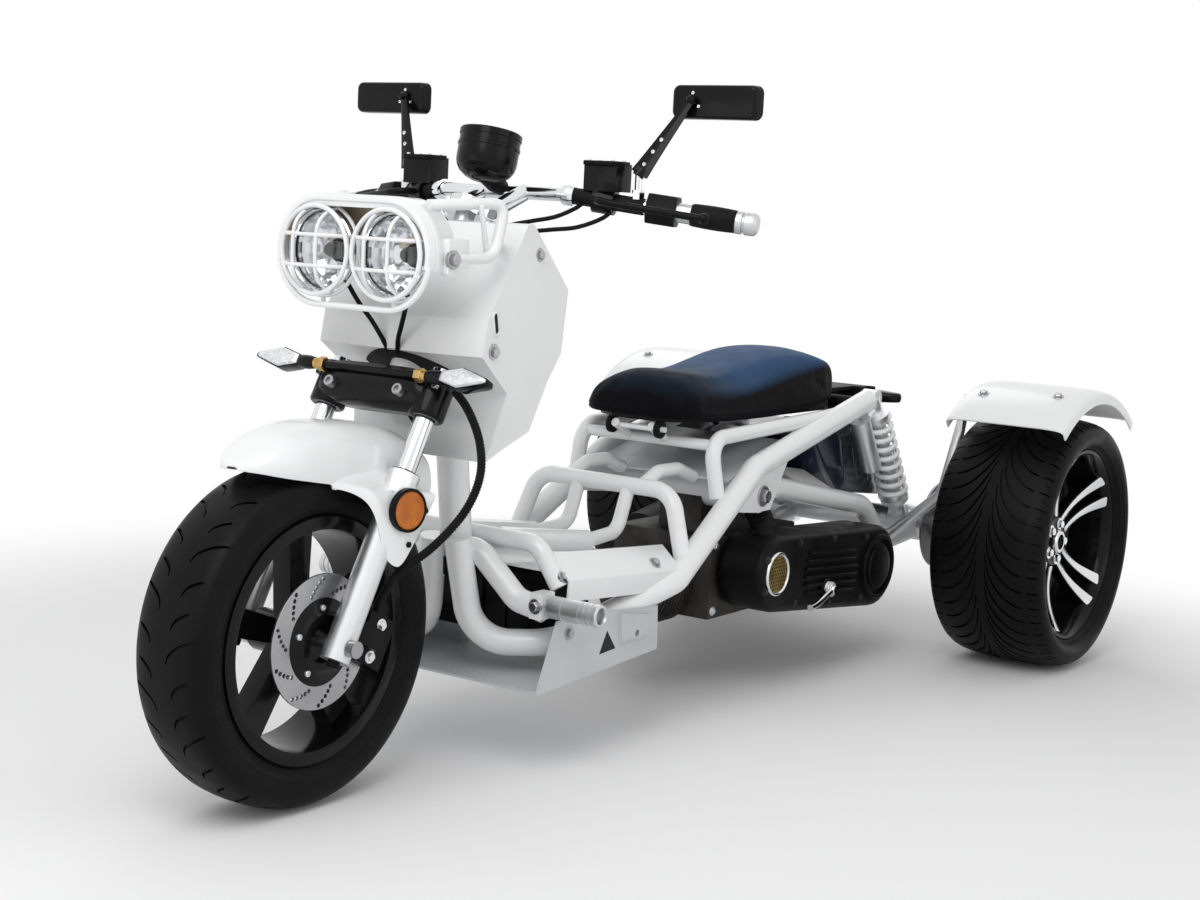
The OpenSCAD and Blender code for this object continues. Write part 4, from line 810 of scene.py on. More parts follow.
def makeTyre(name, s, centre, pitchBag, body, node):
    bag = newBag()
    put(bag, tyreBody(s))
    obj = linkMesh(name, bagMesh(name, bag, ["tyreRubber"]))
    cutter = linkMesh(name + "Pitch", bagMesh(name + "Pitch", pitchBag, []))
    runTree(obj, trees["tread"], Pitch=cutter, Count=s["pitches"], Rubber=looks["tyreRubber"])
    bpy.data.objects.remove(cutter)
    obj.data.transform(Matrix.Translation(Vector(centre) * mm))
    shadeByAngle(obj.data, 30)
    enter(obj, body, (node,))
    print(name, len(obj.data.polygons), "faces")


makeTyre("frontTyre", frontTyre, (site["frontX"], 0, site["frontZ"]), frontPitch(frontTyre), "front_wheel",
         "front_tyre")
for sideName, side in (("Left", 1), ("Right", -1)):
    makeTyre("rearTyre" + sideName, rearTyre, (site["rearX"], side * site["rearY"], site["rearZ"]),
             rearPitch(rearTyre), "rear_wheel_" + sideName.lower(), "rear_tyre_" + sideName.lower())


# a wound spring along z
def coilTree():
    tree, into, out = growTree("coil", [("Turns", "Float"), ("Radius", "Float"), ("Height", "Float"),
                                        ("Wire", "Float"), ("Finish", "Material")])
    spiral = tree.nodes.new("GeometryNodeCurveSpiral")
    spiral.inputs["Resolution"].default_value = 28
    strand = tree.nodes.new("GeometryNodeCurvePrimitiveCircle")
    strand.inputs["Resolution"].default_value = 12
    body = tree.nodes.new("GeometryNodeCurveToMesh")
    body.inputs["Fill Caps"].default_value = True
    connect(tree, [(into, "Turns", spiral, "Rotations"), (into, "Radius", spiral, "Start Radius"),
                   (into, "Radius", spiral, "End Radius"), (into, "Height", spiral, "Height"),
                   (into, "Wire", strand, "Radius"), (spiral, "Curve", body, "Curve"),
                   (strand, "Curve", body, "Profile Curve")])
    endTree(tree, body.outputs["Mesh"], into.outputs["Finish"], out)
    return tree


# drills a hole along y at every vertex of another mesh
def drillTree():
    tree, into, out = growTree("drill", [("Spots", "Object"), ("Radius", "Float"), ("Length", "Float"),
                                         ("Sides", "Int"), ("Finish", "Material")])
    spots = tree.nodes.new("GeometryNodeObjectInfo")
    bit = tree.nodes.new("GeometryNodeMeshCylinder")
    copies = tree.nodes.new("GeometryNodeInstanceOnPoints")
    copies.inputs["Rotation"].default_value = (pi / 2, 0, 0)
    connect(tree,
            [(into, "Spots", spots, "Object"), (into, "Radius", bit, "Radius"),
             (into, "Length", bit, "Depth"), (into, "Sides", bit, "Vertices"),
             (spots, "Geometry", copies, "Points"), (bit, "Mesh", copies, "Instance")])
    endCut(tree, into, copies, "Finish", out)
    return tree


# a bolt head at every vertex, turned to the vertex's aim and sized by its size
def boltTree():
    tree, into, out = growTree("bolts", [("Head", "Object"), ("Finish", "Material")])
    head = tree.nodes.new("GeometryNodeObjectInfo")
    aim = tree.nodes.new("GeometryNodeInputNamedAttribute")
    aim.data_type = "FLOAT_VECTOR"
    aim.inputs["Name"].default_value = "aim"
    size = tree.nodes.new("GeometryNodeInputNamedAttribute")
    size.data_type = "FLOAT"
    size.inputs["Name"].default_value = "size"
    turn = tree.nodes.new("FunctionNodeAlignRotationToVector")
    copies = tree.nodes.new("GeometryNodeInstanceOnPoints")
    connect(tree,
            [(into, "Head", head, "Object"), (aim, "Attribute", turn, "Vector"),
             (into, "Geometry", copies, "Points"), (head, "Geometry", copies, "Instance"),
             (turn, "Rotation", copies, "Rotation"), (size, "Attribute", copies, "Scale")])
    endTree(tree, copies.outputs[0], into.outputs["Finish"], out)
    return tree


trees.update(coil=coilTree(), drill=drillTree(), bolt=boltTree())


# bolt heads of unit radius: a hexagon on a washer, and a socket cap
def boltHead(kind):
    bag = newBag()
    if kind == "hex":
        put(bag, lathe([(0, -0.5), (1.45, -0.5), (1.5, 0.12), (1.42, 0.2), (0, 0.2)], (0, 0, 0), (0, 0, 1),
                       24))
        put(bag, lathe([(0, 0.1), (1, 0.1), (1, 0.75), (0.86, 0.9), (0, 0.9)], (0, 0, 0), (0, 0, 1), 6))
    else:
        put(bag, lathe([(0, -0.5), (1, -0.5), (1, 0.75), (0.9, 0.9), (0.56, 0.9), (0.56, 0.35), (0, 0.3)],
                       (0, 0, 0), (0, 0, 1), 24))
    bag["verts"] = [v / mm for v in bag["verts"]]
    obj = linkMesh(kind + "Head", bagMesh(kind + "Head", bag, ["satinAlloy"]))
    shadeByAngle(obj.data, 30)
    return obj


boltHeads = {kind: boltHead(kind) for kind in ("hex", "socket")}


def makeBolts(name, kind, spots, look, body, mirrored=True):
    # a spot is (place, aim, radius)
    spots = [(Vector(p), Vector(a).normalized(), r) for p, a, r in spots]
    if mirrored:
        spots += [(Vector((p.x, -p.y, p.z)), Vector((a.x, -a.y, a.z)), r) for p, a, r in spots]
    mesh = bpy.data.meshes.new(name)
    mesh.from_pydata([p * mm for p, a, r in spots], [], [])
    mesh.attributes.new("aim", "FLOAT_VECTOR", "POINT")
    mesh.attributes.new("size", "FLOAT", "POINT")
    mesh.attributes["aim"].data.foreach_set("vector", [c for p, a, r in spots for c in a])
    mesh.attributes["size"].data.foreach_set("value", [r * mm for p, a, r in spots])
    obj = runTree(linkMesh(name, mesh), trees["bolt"], Head=boltHeads[kind], Finish=looks[look])
    return enter(obj, body)


def spotMesh(points):
    mesh = bpy.data.meshes.new("spots")
    mesh.from_pydata([Vector(p) * mm for p in points], [], [])
    return linkMesh("spots", mesh)


def drilled(name, bag, look, points, radius, length, body, replaces=(), sides=16):
    spots = spotMesh(points)
    obj = linkMesh(name, bagMesh(name, bag, [look]))
    runTree(obj, trees["drill"], Spots=spots, Radius=radius * mm, Length=length * mm, Sides=sides,
            Finish=looks[look])
    bpy.data.objects.remove(spots)
    shadeByAngle(obj.data, 30)
    return enter(obj, body, replaces)


# seat: a crowned pad over its base, swollen by cloth pressure
seatPad = dict(
    # along the seat: x, half width, lower edge, side top edge, crown
    rows=[(13, 62, 508, 514, 522), (9, 82, 506, 522, 541), (0, 101, 504, 528, 556),
          (-18, 117, 503, 529, 569), (-44, 124, 501, 528, 577), (-80, 127, 499, 527, 578),
          (-120, 129, 497, 530, 572), (-165, 130, 496, 535, 570), (-215, 130, 495, 538, 577),
          (-275, 130, 495, 543, 588), (-340, 130, 497, 552, 600), (-410, 129, 501, 563, 607),
          (-465, 126, 506, 575, 606), (-503, 120, 511, 584, 600), (-528, 107, 515, 574, 584),
          (-541, 84, 518, 552, 560)],
    voxel=0.005, pressure=4.0, frames=20, cap=0.007,
    # held below a height that rises to the tail: height, rise, its start, its length, in metres
    held=(0.512, 0.012, -0.4, 0.14),
    # painted reflection of the sky, laid in blue on the seat's top where the surface turns up: where it
    # turns up, over how much; x, over how long in metres, least
    panel=((0.45, 0.5), (-0.05, 0.18, 0.12)),
    # the seam: height over the lower edge, half width, depth, and how far from the middle it starts
    seam=(11.0, 2.2, 0.0016, 60.0))


def seatForm(s):
    rings = []
    for x, half, low, side, crown in s["rows"]:
        top = [(half - 5, low), (half - 1, low + 7), (half, low + (side - low) * 0.55), (half - 3, side - 5),
               (half * 0.93, side + (crown - side) * 0.3), (half * 0.82, side + (crown - side) * 0.6),
               (half * 0.6, side + (crown - side) * 0.85), (half * 0.3, side + (crown - side) * 0.97),
               (0, crown)]
        ring = [(x, y, z) for y, z in top] + [(x, -y, z) for y, z in top[-2::-1]]
        ring += [(x, -half * 0.5, low), (x, 0, low), (x, half * 0.5, low)]
        rings.append(ring)
    bag = newBag()
    put(bag, loft(rings))
    return bag


def swellPad(pad, s):
    start = [v.co.copy() for v in pad.data.vertices]
    pinned = pad.vertex_groups.new(name="held")
    level, rise, begin, span = s["held"]
    pinned.add([i for i, c in enumerate(start) if c.z < level + rise * max(0, begin - c.x) / span], 1.0,
               "REPLACE")
    cloth = pad.modifiers.new("swell", "CLOTH")
    cloth.settings.use_pressure = True
    cloth.settings.uniform_pressure_force = s["pressure"]
    cloth.settings.vertex_group_mass = "held"
    cloth.settings.effector_weights.gravity = 0
    cloth.point_cache.frame_start, cloth.point_cache.frame_end = 1, s["frames"]
    for step in range(1, s["frames"] + 1):
        scene.frame_set(step)
    settle(pad)
    for vert, was in zip(pad.data.vertices, start):
        move = vert.co - was
        if move.length > s["cap"]:
            vert.co = was + move * (s["cap"] / move.length)
    pad.vertex_groups.clear()
    scene.frame_set(1)


def makeSeat(s):
    pad = linkMesh("seatPad", bagMesh("seatPad", seatForm(s), ["seatVinyl"]))
    addRounder(pad, 2)
    remesh = pad.modifiers.new("even", "REMESH")
    remesh.mode = "VOXEL"
    remesh.voxel_size = s["voxel"]
    settle(pad)
    # how much painted sky reflection each place takes, by how far it faces up, less so on the nose
    pad.data.attributes.new("topPanel", "FLOAT", "POINT")
    (turned, over), (begin, span, least) = s["panel"]
    lift = [min(1, max(0, (v.normal.z - turned) / over)) for v in pad.data.vertices]
    back = [min(1, max(least, (begin - v.co.x) / span)) for v in pad.data.vertices]
    pad.data.attributes["topPanel"].data.foreach_set("value", [a * b for a, b in zip(lift, back)])
    swellPad(pad, s)
    calm = pad.modifiers.new("calm", "SMOOTH")
    calm.factor, calm.iterations = 0.5, 6
    addRounder(pad, 1)
    settle(pad)
    # a pressed seam low on the side
    rows = s["rows"]
    high, wide, deep, out = s["seam"]
    for vert in pad.data.vertices:
        x, y, z = vert.co / mm
        if not rows[-1][0] < x < rows[0][0]:
            continue
        k = next(i for i in range(len(rows) - 1) if rows[i + 1][0] <= x)
        t = (rows[k][0] - x) / (rows[k][0] - rows[k + 1][0])
        low = rows[k][2] + (rows[k + 1][2] - rows[k][2]) * t
        off = abs(z - (low + high)) / wide
        if abs(y) > out and off < 1:
            vert.co.y -= copysign(deep * (1 - off * off), y)
    pad.data.materials.clear()
    pad.data.materials.append(looks["seatVinyl"])
    pad.data.shade_smooth()
    enter(pad, "seat", ("seat_cushion",))
    print("seat pad", len(pad.data.polygons), "faces")


makeSeat(seatPad)

# front fairing: the folded shell, its edges rounded, hollow, open for the fork's stem and the spine
fairing = dict(
    # down the front and the back: distance behind the axle, height, half width, bulge, spans below
    front=[(330, 832, 140.6, 30, 4), (222, 695, 158, 25, 2), (212, 642, 158, 19, 3), (284, 585, 150.1, 8, 3),
           (264, 482, 129.6, 0, 0)],
    back=[(344, 834, 140.6, 30, 3), (437, 736, 140.6, 0, 3), (426, 640, 140.6, 0, 2), (397, 598, 139, 0, 2),
          (357, 523, 137.5, 0, 2), (298, 500, 134.3, 0, 0)],
    middle=(480.5, 0, 660), inner=0.967, edge=19.0, acrossSide=4,
    # what passes through: head tube, hole below it and its radius, hole above, spine bends and hole radii
    head=(420, 585), below=(330, 436, 75), above=37, spine=((510.5, 0, 565), (479.5, 0, 328)),
    spineHoles=(50, 25.1))


def spread(rows):
    # the rows with even steps between them
    path = []
    for p, q in zip(rows, rows[1:]):
        path += [[p[i] + (q[i] - p[i]) * k / p[4] for i in range(4)] for k in range(p[4])]
    return path + [list(rows[-1][:4])]


def fairingBlock(s, share):
    front, back = spread(s["front"]), spread(s["back"])
    rows = front + back[::-1]
    count, tall = len(rows), len(front)
    cols = (1, 0.5, 0, -0.5, -1)
    middle = Vector(s["middle"])
    spots = [Vector((site["frontX"] - back + bulge * (1 - c * c), c * half, z)) for c in cols
             for back, z, half, bulge in rows]
    faces = [[k * count + i, k * count + (i + 1) % count, (k + 1) * count + (i + 1) % count,
              (k + 1) * count + i]
             for k in range(len(cols) - 1) for i in range(count)]
    for base in (0, (len(cols) - 1) * count):
        lines = [[base + i for i in range(tall)]]
        for k in range(1, s["acrossSide"]):
            lines.append([len(spots) + i for i in range(tall)])
            lines[-1][0], lines[-1][-1] = len(spots), len(spots) + tall - 1
            spots += [spots[base + i].lerp(spots[base + count - 1 - i], k / s["acrossSide"])
                      for i in range(tall)]
        lines.append([base + count - 1 - i for i in range(tall)])
        for p, q in zip(lines, lines[1:]):
            faces += [[p[i], p[i + 1], q[i + 1], q[i]] for i in range(tall - 1)]
        for end in (0, tall - 1):
            # the side grid meets the short strip between front and back
            faces.append([line[end] for line in lines])
    bag = newBag()
    put(bag, ([middle + (p - middle) * share for p in spots], faces))
    return bag


def carve(obj, *cutters):
    for cutter in cutters:
        cut = obj.modifiers.new("cut", "BOOLEAN")
        cut.operation, cut.solver, cut.object = "DIFFERENCE", "MANIFOLD", cutter
        cut.material_mode = "TRANSFER"
    settle(obj)
    for cutter in cutters:
        bpy.data.objects.remove(cutter)


# a rod-shaped cutter; the faces it cuts take the near-black painted shade
def rodCutter(a, b, r):
    bag = newBag()
    put(bag, tube([a, b], r, 64))
    return linkMesh("cutter", bagMesh("cutter", bag, ["darkGap"]))


def makeFairing(s):
    shell = linkMesh("fairingShell", bagMesh("fairingShell", fairingBlock(s, 1), ["whitePaint"]))
    settle(addBevel(shell, s["edge"], 6, 22))
    # the shell's inside takes the near-black painted shade through this cut
    hollow = linkMesh("hollow", bagMesh("hollow", fairingBlock(s, s["inner"]), ["darkGap"]))
    settle(addBevel(hollow, s["edge"] * 0.8, 3, 22))
    low, high = (stemPoint(z) for z in s["head"])
    knee, foot = (Vector(p) for p in s["spine"])
    z0, z1, r = s["below"]
    carve(shell, hollow, rodCutter(stemPoint(z0), stemPoint(z1), r),
          rodCutter(high, low.lerp(high, 3), s["above"]),
          rodCutter((low + high) / 2, knee, s["spineHoles"][0]), rodCutter(knee, foot, s["spineHoles"][1]))
    shadeByAngle(shell.data, 40)
    enter(shell, "chassis", ("front_fairing",))
    return shell


fairingShell = makeFairing(fairing)
print("fairing", len(fairingShell.data.polygons), "faces")


# sheets that arch over the tyres
def archSheet(name, stations, acrossSteps, thick):
    # a station is (centre of the crown, up, half width, drop to the edge, fullness)
    verts = []
    for mid, up, half, drop, full in stations:
        for k in range(acrossSteps + 1):
            a = pi * k / acrossSteps
            y = copysign(abs(cos(a)) ** full, cos(a)) * half
            verts.append(Vector(mid) + leftward * y - Vector(up) * drop * (1 - sin(a) ** full))
    bag = newBag()
    put(bag, (verts, gridFaces(len(stations), acrossSteps + 1)))
    obj = linkMesh(name, bagMesh(name, bag, ["whitePaint"]))
    if sum((p.normal.z * p.area for p in obj.data.polygons)) < 0:
        obj.data.flip_normals()
    addWall(obj, thick, -1)
    settle(addBevel(obj, thick * 0.4, 2, 50))
    return obj


frontFender = dict(
    # x, crown height, half width, edge height
    rows=[(967, 494, 10, 489), (962, 500, 24, 488), (950, 509, 40, 486), (932, 521, 53, 482),
          (906, 534, 63, 477), (877, 541, 69, 472), (838, 547, 72, 465), (797, 547, 73, 457),
          (756, 544, 73, 448), (713, 538, 72, 442), (669, 523, 70, 438), (641, 507, 68, 437),
          (627, 496, 67, 437)],
    thick=3.0, full=0.62, across=28, flareRoot=(66, 70, 72),
    # the flare round the slider, front to rear: x, root height, outer y, outer top, lower edge
    flare=[(846, 466, 73, 465, 462), (828, 478, 80, 466, 458), (810, 486, 93, 463, 450),
           (794, 490, 108, 459, 430), (783, 491, 114, 457, 366), (770, 491, 118, 456, 352),
           (756, 490, 121, 455, 344), (740, 488, 123, 454, 364), (722, 484, 125, 452, 390),
           (705, 478, 127, 450, 419), (690, 470, 129, 448, 445)],
    reflector=(746, 123.2, 428), aim=(0.13, 0.99, 0), reflectorR=30.0,
    tabBolts=[(711, 126.6, 424), (741, 123.2, 378)])


def makeFrontFender(s):
    rows = smoothPath([Vector((x, crown, 0)) for x, crown, half, edge in s["rows"]], 4)
    shape = smoothPath([Vector((half, edge, 0)) for x, crown, half, edge in s["rows"]], 4)
    stations = [(Vector((p.x, 0, p.y)), (0, 0, 1), q.x, p.y - q.y, s["full"]) for p, q in zip(rows, shape)]
    sheet = archSheet("frontFender", stations, s["across"], s["thick"])
    shadeByAngle(sheet.data, 40)
    enter(sheet, "steering", ("front_fender",))
    bag = newBag()
    rows = []
    a, b, c = s["flareRoot"]
    for x, innerZ, outerY, outerZ, edgeZ in s["flare"]:
        dip = innerZ + (outerZ - innerZ) * 0.9
        rows.append([(x, a, innerZ), (x, c, (innerZ + dip) / 2), (x, c + (outerY - c) * 0.25, dip),
                     (x, outerY - (outerY - b) * 0.2, outerZ),
                     (x, outerY, min(outerZ - 5, (outerZ + edgeZ) / 2 + 8)), (x, outerY, edgeZ)])
    both(bag, ([p for row in rows for p in row], gridFaces(len(rows), len(rows[0]))))
    flare = linkMesh("fenderFlares", bagMesh("fenderFlares", bag, ["whitePaint"]))
    addRounder(flare, 2)
    addWall(flare, s["thick"], 0)
    settle(flare)
    shadeByAngle(flare.data, 50)
    enter(flare, "steering")
    bag = newBag()
    r = s["reflectorR"]
    both(bag, lathe([(0, -4), (r, -4), (r + 1.5, -2), (r + 1.5, 7), (r - 1.5, 9), (r - 2.5, 7), (0, 7)],
                    s["reflector"], s["aim"], 48), 0)
    both(bag, lathe([(0, 7.2), (r - 2.6, 7.2), (r - 5, 8.8), (0, 9.4)], s["reflector"], s["aim"], 48), 1)
    makePiece("fenderReflectors", bag, ["blackPlastic", "amberLens"], "steering", sharp=25)
    makeBolts("fenderBolts", "hex", [(p, s["aim"], 4.6) for p in s["tabBolts"]], "blackPlastic", "steering")


makeFrontFender(frontFender)

rearFender = dict(radius=308.0, half=122.0, start=52.0, end=129.0, drop=27.0, thick=4.0, full=0.34, steps=40,
                  across=36)


def makeRearFender(s, side, name):
    stations = []
    for i in range(s["steps"] + 1):
        t = i / s["steps"]
        a = radians(s["start"] + (s["end"] - s["start"]) * t)
        up = Vector((cos(a), 0, sin(a)))
        mid = Vector((site["rearX"], side * site["rearY"], site["rearZ"])) + up * s["radius"]
        stations.append((mid, up, s["half"], s["drop"], s["full"]))
    sheet = archSheet(name, stations, s["across"], s["thick"])
    shadeByAngle(sheet.data, 40)
    enter(sheet, "chassis", ("rear_fenders",))


for side, name in ((1, "rearFenderLeft"), (-1, "rearFenderRight")):
    makeRearFender(rearFender, side, name)
print("fenders ready")


# headlights: a bowl with a cut reflector, a bulb holder and a bowed lens, behind a domed wire cage
lamp = dict(back=675.5, y=68.0, z=783.0, facets=20,
            bowl=[(0, 0), (20, 0), (32, 8), (50, 30), (57, 44), (58.5, 47), (58.5, 53), (55, 53)],
            bowlInside=[(54.5, 45), (46, 29), (30, 12), (0, 5)],
            mirrorBack=[(8.5, 9), (20, 11.5), (33, 18), (44.5, 28.5), (53, 41), (56, 52)],
            mirror=[(55, 52), (52, 42), (44, 30), (33, 20), (20, 13.5), (9, 11)],
            holder=[(0, 6), (17, 6), (17, 17), (14, 21), (11, 21), (11, 33), (8, 38), (0, 39)],
            lens=[(0, 66), (18, 65), (34, 61.5), (46, 57), (54, 52.5), (57, 49), (54, 49), (46, 53.5),
                  (34, 58), (18, 61.5), (0, 62.5)],
            bezel=[(54.5, 48), (58.7, 48), (60.5, 51), (60.5, 57), (58.5, 59), (56.5, 57)],
            wire=3.0, ringR=63.5, ringX=(748, 727), ringWire=(3.8, 3.0), barAt=(-22, 22), dome=21.0,
            stubTo=75.5, holderOff=(0, 5, 0))


def makeLamps(s):
    shells, mirrors, lenses, wires = newBag(), newBag(), newBag(), newBag()
    ahead = Vector((1, 0, 0))
    root = Vector((s["back"], s["y"], s["z"]))
    both(shells, lathe(s["bowl"] + s["bowlInside"], root, ahead, 48), 0)
    both(shells, lathe(s["holder"], root + Vector(s["holderOff"]), ahead, 24), 0)
    both(mirrors, lathe(s["mirror"] + s["mirrorBack"], root, ahead, s["facets"], ring=True), 0)
    both(mirrors, lathe(s["bezel"], root, ahead, 64, ring=True), 0)
    both(lenses, lathe(s["lens"], root, ahead, 64), 0)
    mid = Vector((0, s["y"], s["z"]))
    for x, r, wire in zip(s["ringX"], (s["ringR"], s["ringR"] + 3), s["ringWire"]):
        ring = circle(mid + ahead * x, leftward, upward, r, 48)
        both(wires, tube(ring, wire, 10, True))
    reach = s["ringR"] + 1
    for off in s["barAt"]:
        half = sqrt(reach ** 2 - off ** 2)
        for flat in (0, 1):
            path = []
            for k in range(25):
                t = -1 + k / 12
                x = s["ringX"][1] + (s["ringX"][0] - s["ringX"][1] + s["dome"]) * (1 - abs(t) ** 4.2) ** 0.8
                path.append(mid + (Vector((x, half * t, off)) if flat else Vector((x, off, half * t))))
            both(wires, tube(path, s["wire"], 8))
    for side in (1, -1):
        a = mid + Vector((s["ringX"][1], 0, side * (s["ringR"] + 2)))
        both(wires, tube([a, a + Vector((-2, 0, side * (s["stubTo"] - s["ringR"])))], 3.4, 8))
    makePiece("lampShells", shells, ["blackPlastic"], "chassis", sharp=30)
    makePiece("lampMirrors", mirrors, ["brightChrome"], "chassis", sharp=12)
    makePiece("lampLenses", lenses, ["clearLens"], "chassis", ("headlights",), sharp=60)
    makePiece("lampCages", wires, ["whitePaint"], "chassis", ("headlight_guard",), sharp=50)


makeLamps(lamp)

# lamp hood: a shell over the top and sides with stepped rims, a thin tube below, side boxes and bent arms
hood = dict(brow=8.0, centreY=66.0, z=783.0, x=(688.0, 745.5), r=(74.5, 81.0), low=(741, 78.0, 4.6),
            box=(44, 52, 14), boxAt=(692, 141, 784),
            arm=[(706.5, 107.4, 854.7), (583.5, 149, 863), (605.5, 149, 783), (700, 149, 783)], armR=8.4,
            bend=26.0, brace=[((594.5, 149, 823), (530, 96, 790), 6.0),
                              ((636, 147, 858), (612, 140, 790), 4.0)], plate=(669.5, 143.0, 13.0),
            # the outer face behind the front edge: distance, rise
            steps=[(0, -3), (3, -1), (9, -1), (10, 0), (16, 0), (17, 1), (26, 1), (28, 0)])


def stadium(x, y, z, r, turns, steps=24):
    path = []
    for side, a0, a1 in turns:
        for k in range(steps + 1):
            a = radians(a0 + (a1 - a0) * k / steps)
            path.append((Vector((x, side * y, z)), Vector((0, cos(a), sin(a)))))
    return [(p + n * r, n) for p, n in path]


def roundedPath(points, radius, steps=7):
    pts = [Vector(p) for p in points]
    path = [pts[0]]
    for a, b, c in zip(pts, pts[1:], pts[2:]):
        u, w = (a - b).normalized(), (c - b).normalized()
        reach = min(radius, (a - b).length * 0.48, (c - b).length * 0.48)
        p, q = b + u * reach, b + w * reach
        path += [(p * (1 - t) + b * t) * (1 - t) + (b * (1 - t) + q * t) * t
                 for t in (k / steps for k in range(steps + 1))]
    return path + [pts[-1]]


def hoodBand(s, section, ends):
    # a section of (x, radius) swept over both lamps between two angles
    turns = ((1, ends[0], 90), (-1, 90, ends[1]))
    return loft([[Vector((x, p.y, p.z)) + n * r for x, r in section]
                 for p, n in stadium(0, s["centreY"], s["z"], 0, turns)])


def makeHood(s):
    bag = newBag()
    x0, x1 = s["x"]
    inner, outer = s["r"]
    section = [(x0, inner), (x1 - 11, inner), (x1 - 7, inner - 4), (x1 - 2, inner - 4), (x1, inner - 2)]
    section += [(x1 - d, outer + rise) for d, rise in s["steps"]] + [(x0, outer)]
    put(bag, hoodBand(s, section, (-14, 194)), 0)
    # the front band is deeper over the lamps
    brow = []
    for p, n in stadium(0, s["centreY"], s["z"], 0, ((1, 10, 90), (-1, 90, 170))):
        low = inner - 3 - s["brow"] * max(0, n.z) ** 2
        corners = ((x1 - 9, inner + 1), (x1 - 9, low), (x1 - 2.5, low), (x1 - 2.5, inner + 1))
        brow.append([Vector((x, p.y, p.z)) + n * r for x, r in corners])
    put(bag, loft(brow), 0)
    lining = [(x0, inner - 1), (x1 - 11, inner - 1), (x1 - 11, inner + 0.2), (x0, inner + 0.2)]
    put(bag, hoodBand(s, lining, (8, 172)), 1)
    # the lined back wall shows over and between the lamps
    wall = [(p.y, p.z - s["z"])
            for p, n in stadium(0, s["centreY"], s["z"], inner + 1, ((1, 6, 90), (-1, 90, 174)), 12)]
    put(bag, prism(wall, (x0 + 2, 0, s["z"]), (0, 1, 0), (0, 0, 1), 2), 1)
    put(bag, prism(wall, (x0, 0, s["z"]), (0, 1, 0), (0, 0, 1), 2.2), 0)
    x, r, wire = s["low"]
    under = stadium(x, s["centreY"], s["z"], r, ((-1, 190, 270), (1, 270, 350)))
    put(bag, tube([p for p, n in under], wire, 10), 0)
    w, h, t = s["box"]
    both(bag, prism(roundRect(h, w, 5), s["boxAt"], (0, 0, 1), (1, 0, 0), t), 0)
    both(bag, tube(roundedPath(s["arm"], s["bend"]), s["armR"], 16), 0)
    for a, b, r in s["brace"]:
        both(bag, tube([a, b], r, 12), 0)
    x, half, rise = s["plate"]
    put(bag, prism([(-half, -rise), (half, -rise), (half, rise), (-half, rise)], (x, 0, s["z"]), (0, 1, 0),
                   (0, 0, 1), 6), 0)
    makePiece("lampHood", bag, ["whitePaint", "tanShade"], "chassis", ("headlight_hood",), bevel=0.9,
              sharp=34)


makeHood(hood)
print("headlights ready")


def makeCoil(name, place, look, replaces=(), **values):
    seed = linkMesh(name, bpy.data.meshes.new(name))
    runTree(seed, trees["coil"], Finish=looks[look], **values)
    seed.data.transform(place)
    shadeByAngle(seed.data, 50)
    enter(seed, "chassis", replaces)


# shock springs
springs = dict(high=(-607.4, 149.5, 516.7), low=(-762.5, 150, 273), start=0.165, end=0.835, radius=26.6,
               wire=5.4, turns=8.6)


def makeSprings(s):
    for side, name in ((1, "springLeft"), (-1, "springRight")):
        high, low = (Vector((p[0], side * p[1], p[2])) for p in (s["high"], s["low"]))
        a, b = high.lerp(low, s["start"]), high.lerp(low, s["end"])
        x, y, z = axesFor(b - a, (0, 1, 0))
        place = Matrix.Translation(a * mm) @ Matrix((x, y, z)).transposed().to_4x4()
        makeCoil(name, place, "whitePaint", ("shock_springs",), Turns=s["turns"], Radius=s["radius"] * mm,
                 Height=(b - a).length * mm, Wire=s["wire"] * mm)


makeSprings(springs)

# front brake disc: a drilled steel ring on a black carrier
disc = dict(face=57.0, thick=4.0, outer=97.0, inner=63.0, chamfer=0.6, groups=10, hole=3.3, drill=12.0,
            # each group's holes: count, first radius, step outward, turn per hole
            holes=(5, 70.0, 5.2, 0.13),
            carrier=[(29.2, -0.5), (66, -0.5), (66, 2.2), (60, 3.8), (46, 5), (40, 9), (29.2, 9)],
            # bolts: count, circle, size, first angle
            bolts=(5, 49.0, 4.6, 0.3))


def makeDisc(s):
    centre = Vector((site["frontX"], 0, site["frontZ"]))
    bag = newBag()
    h0, h1 = s["face"], s["face"] + s["thick"]
    rim, cut = s["outer"], s["chamfer"]
    put(bag, lathe([(s["inner"], h0), (rim - cut, h0), (rim, h0 + cut), (rim, h1 - cut), (rim - cut, h1),
                    (s["inner"], h1)],
                   centre, leftward, 160, ring=True))
    points = []
    count, first, step, twist = s["holes"]
    for g in range(s["groups"]):
        for k in range(count):
            a = 2 * pi * (g + k * twist) / s["groups"]
            r = first + step * k
            points.append(centre + Vector((r * cos(a), (h0 + h1) / 2, r * sin(a))))
    drilled("discRing", bag, "groundSteel", points, s["hole"], s["drill"], "front_wheel",
            ("front_brake_disc",), 14)
    bag = newBag()
    put(bag, lathe([(r, h0 + h) for r, h in s["carrier"]], centre, leftward, 96, ring=True))
    makePiece("discCarrier", bag, ["blackGloss"], "front_wheel", sharp=30)
    count, radius, size, start = s["bolts"]
    spots = []
    for k in range(count):
        a = 2 * pi * k / count + start
        spots.append((centre + Vector((radius * cos(a), h1 + 0.4, radius * sin(a))), leftward, size))
    makeBolts("discBolts", "socket", spots, "satinAlloy", "front_wheel", False)


makeDisc(disc)
print("springs and disc ready")


# rear rims: a deep black barrel and five pairs of silver-faced spokes swept in to a hub with lug nuts
rearRim = dict(bead=91.95, lip=97.0, seat=178.0, lipR=189.0, hubR=56.0, pairs=5, turn=14.0,
               rootHalf=(6.5, 24.0), tipHalf=(14.0, 42.0), rootOut=46.0, tipOut=92.5, thick=26.0, face=2.2,
               lugs=5, lugR=36.0)


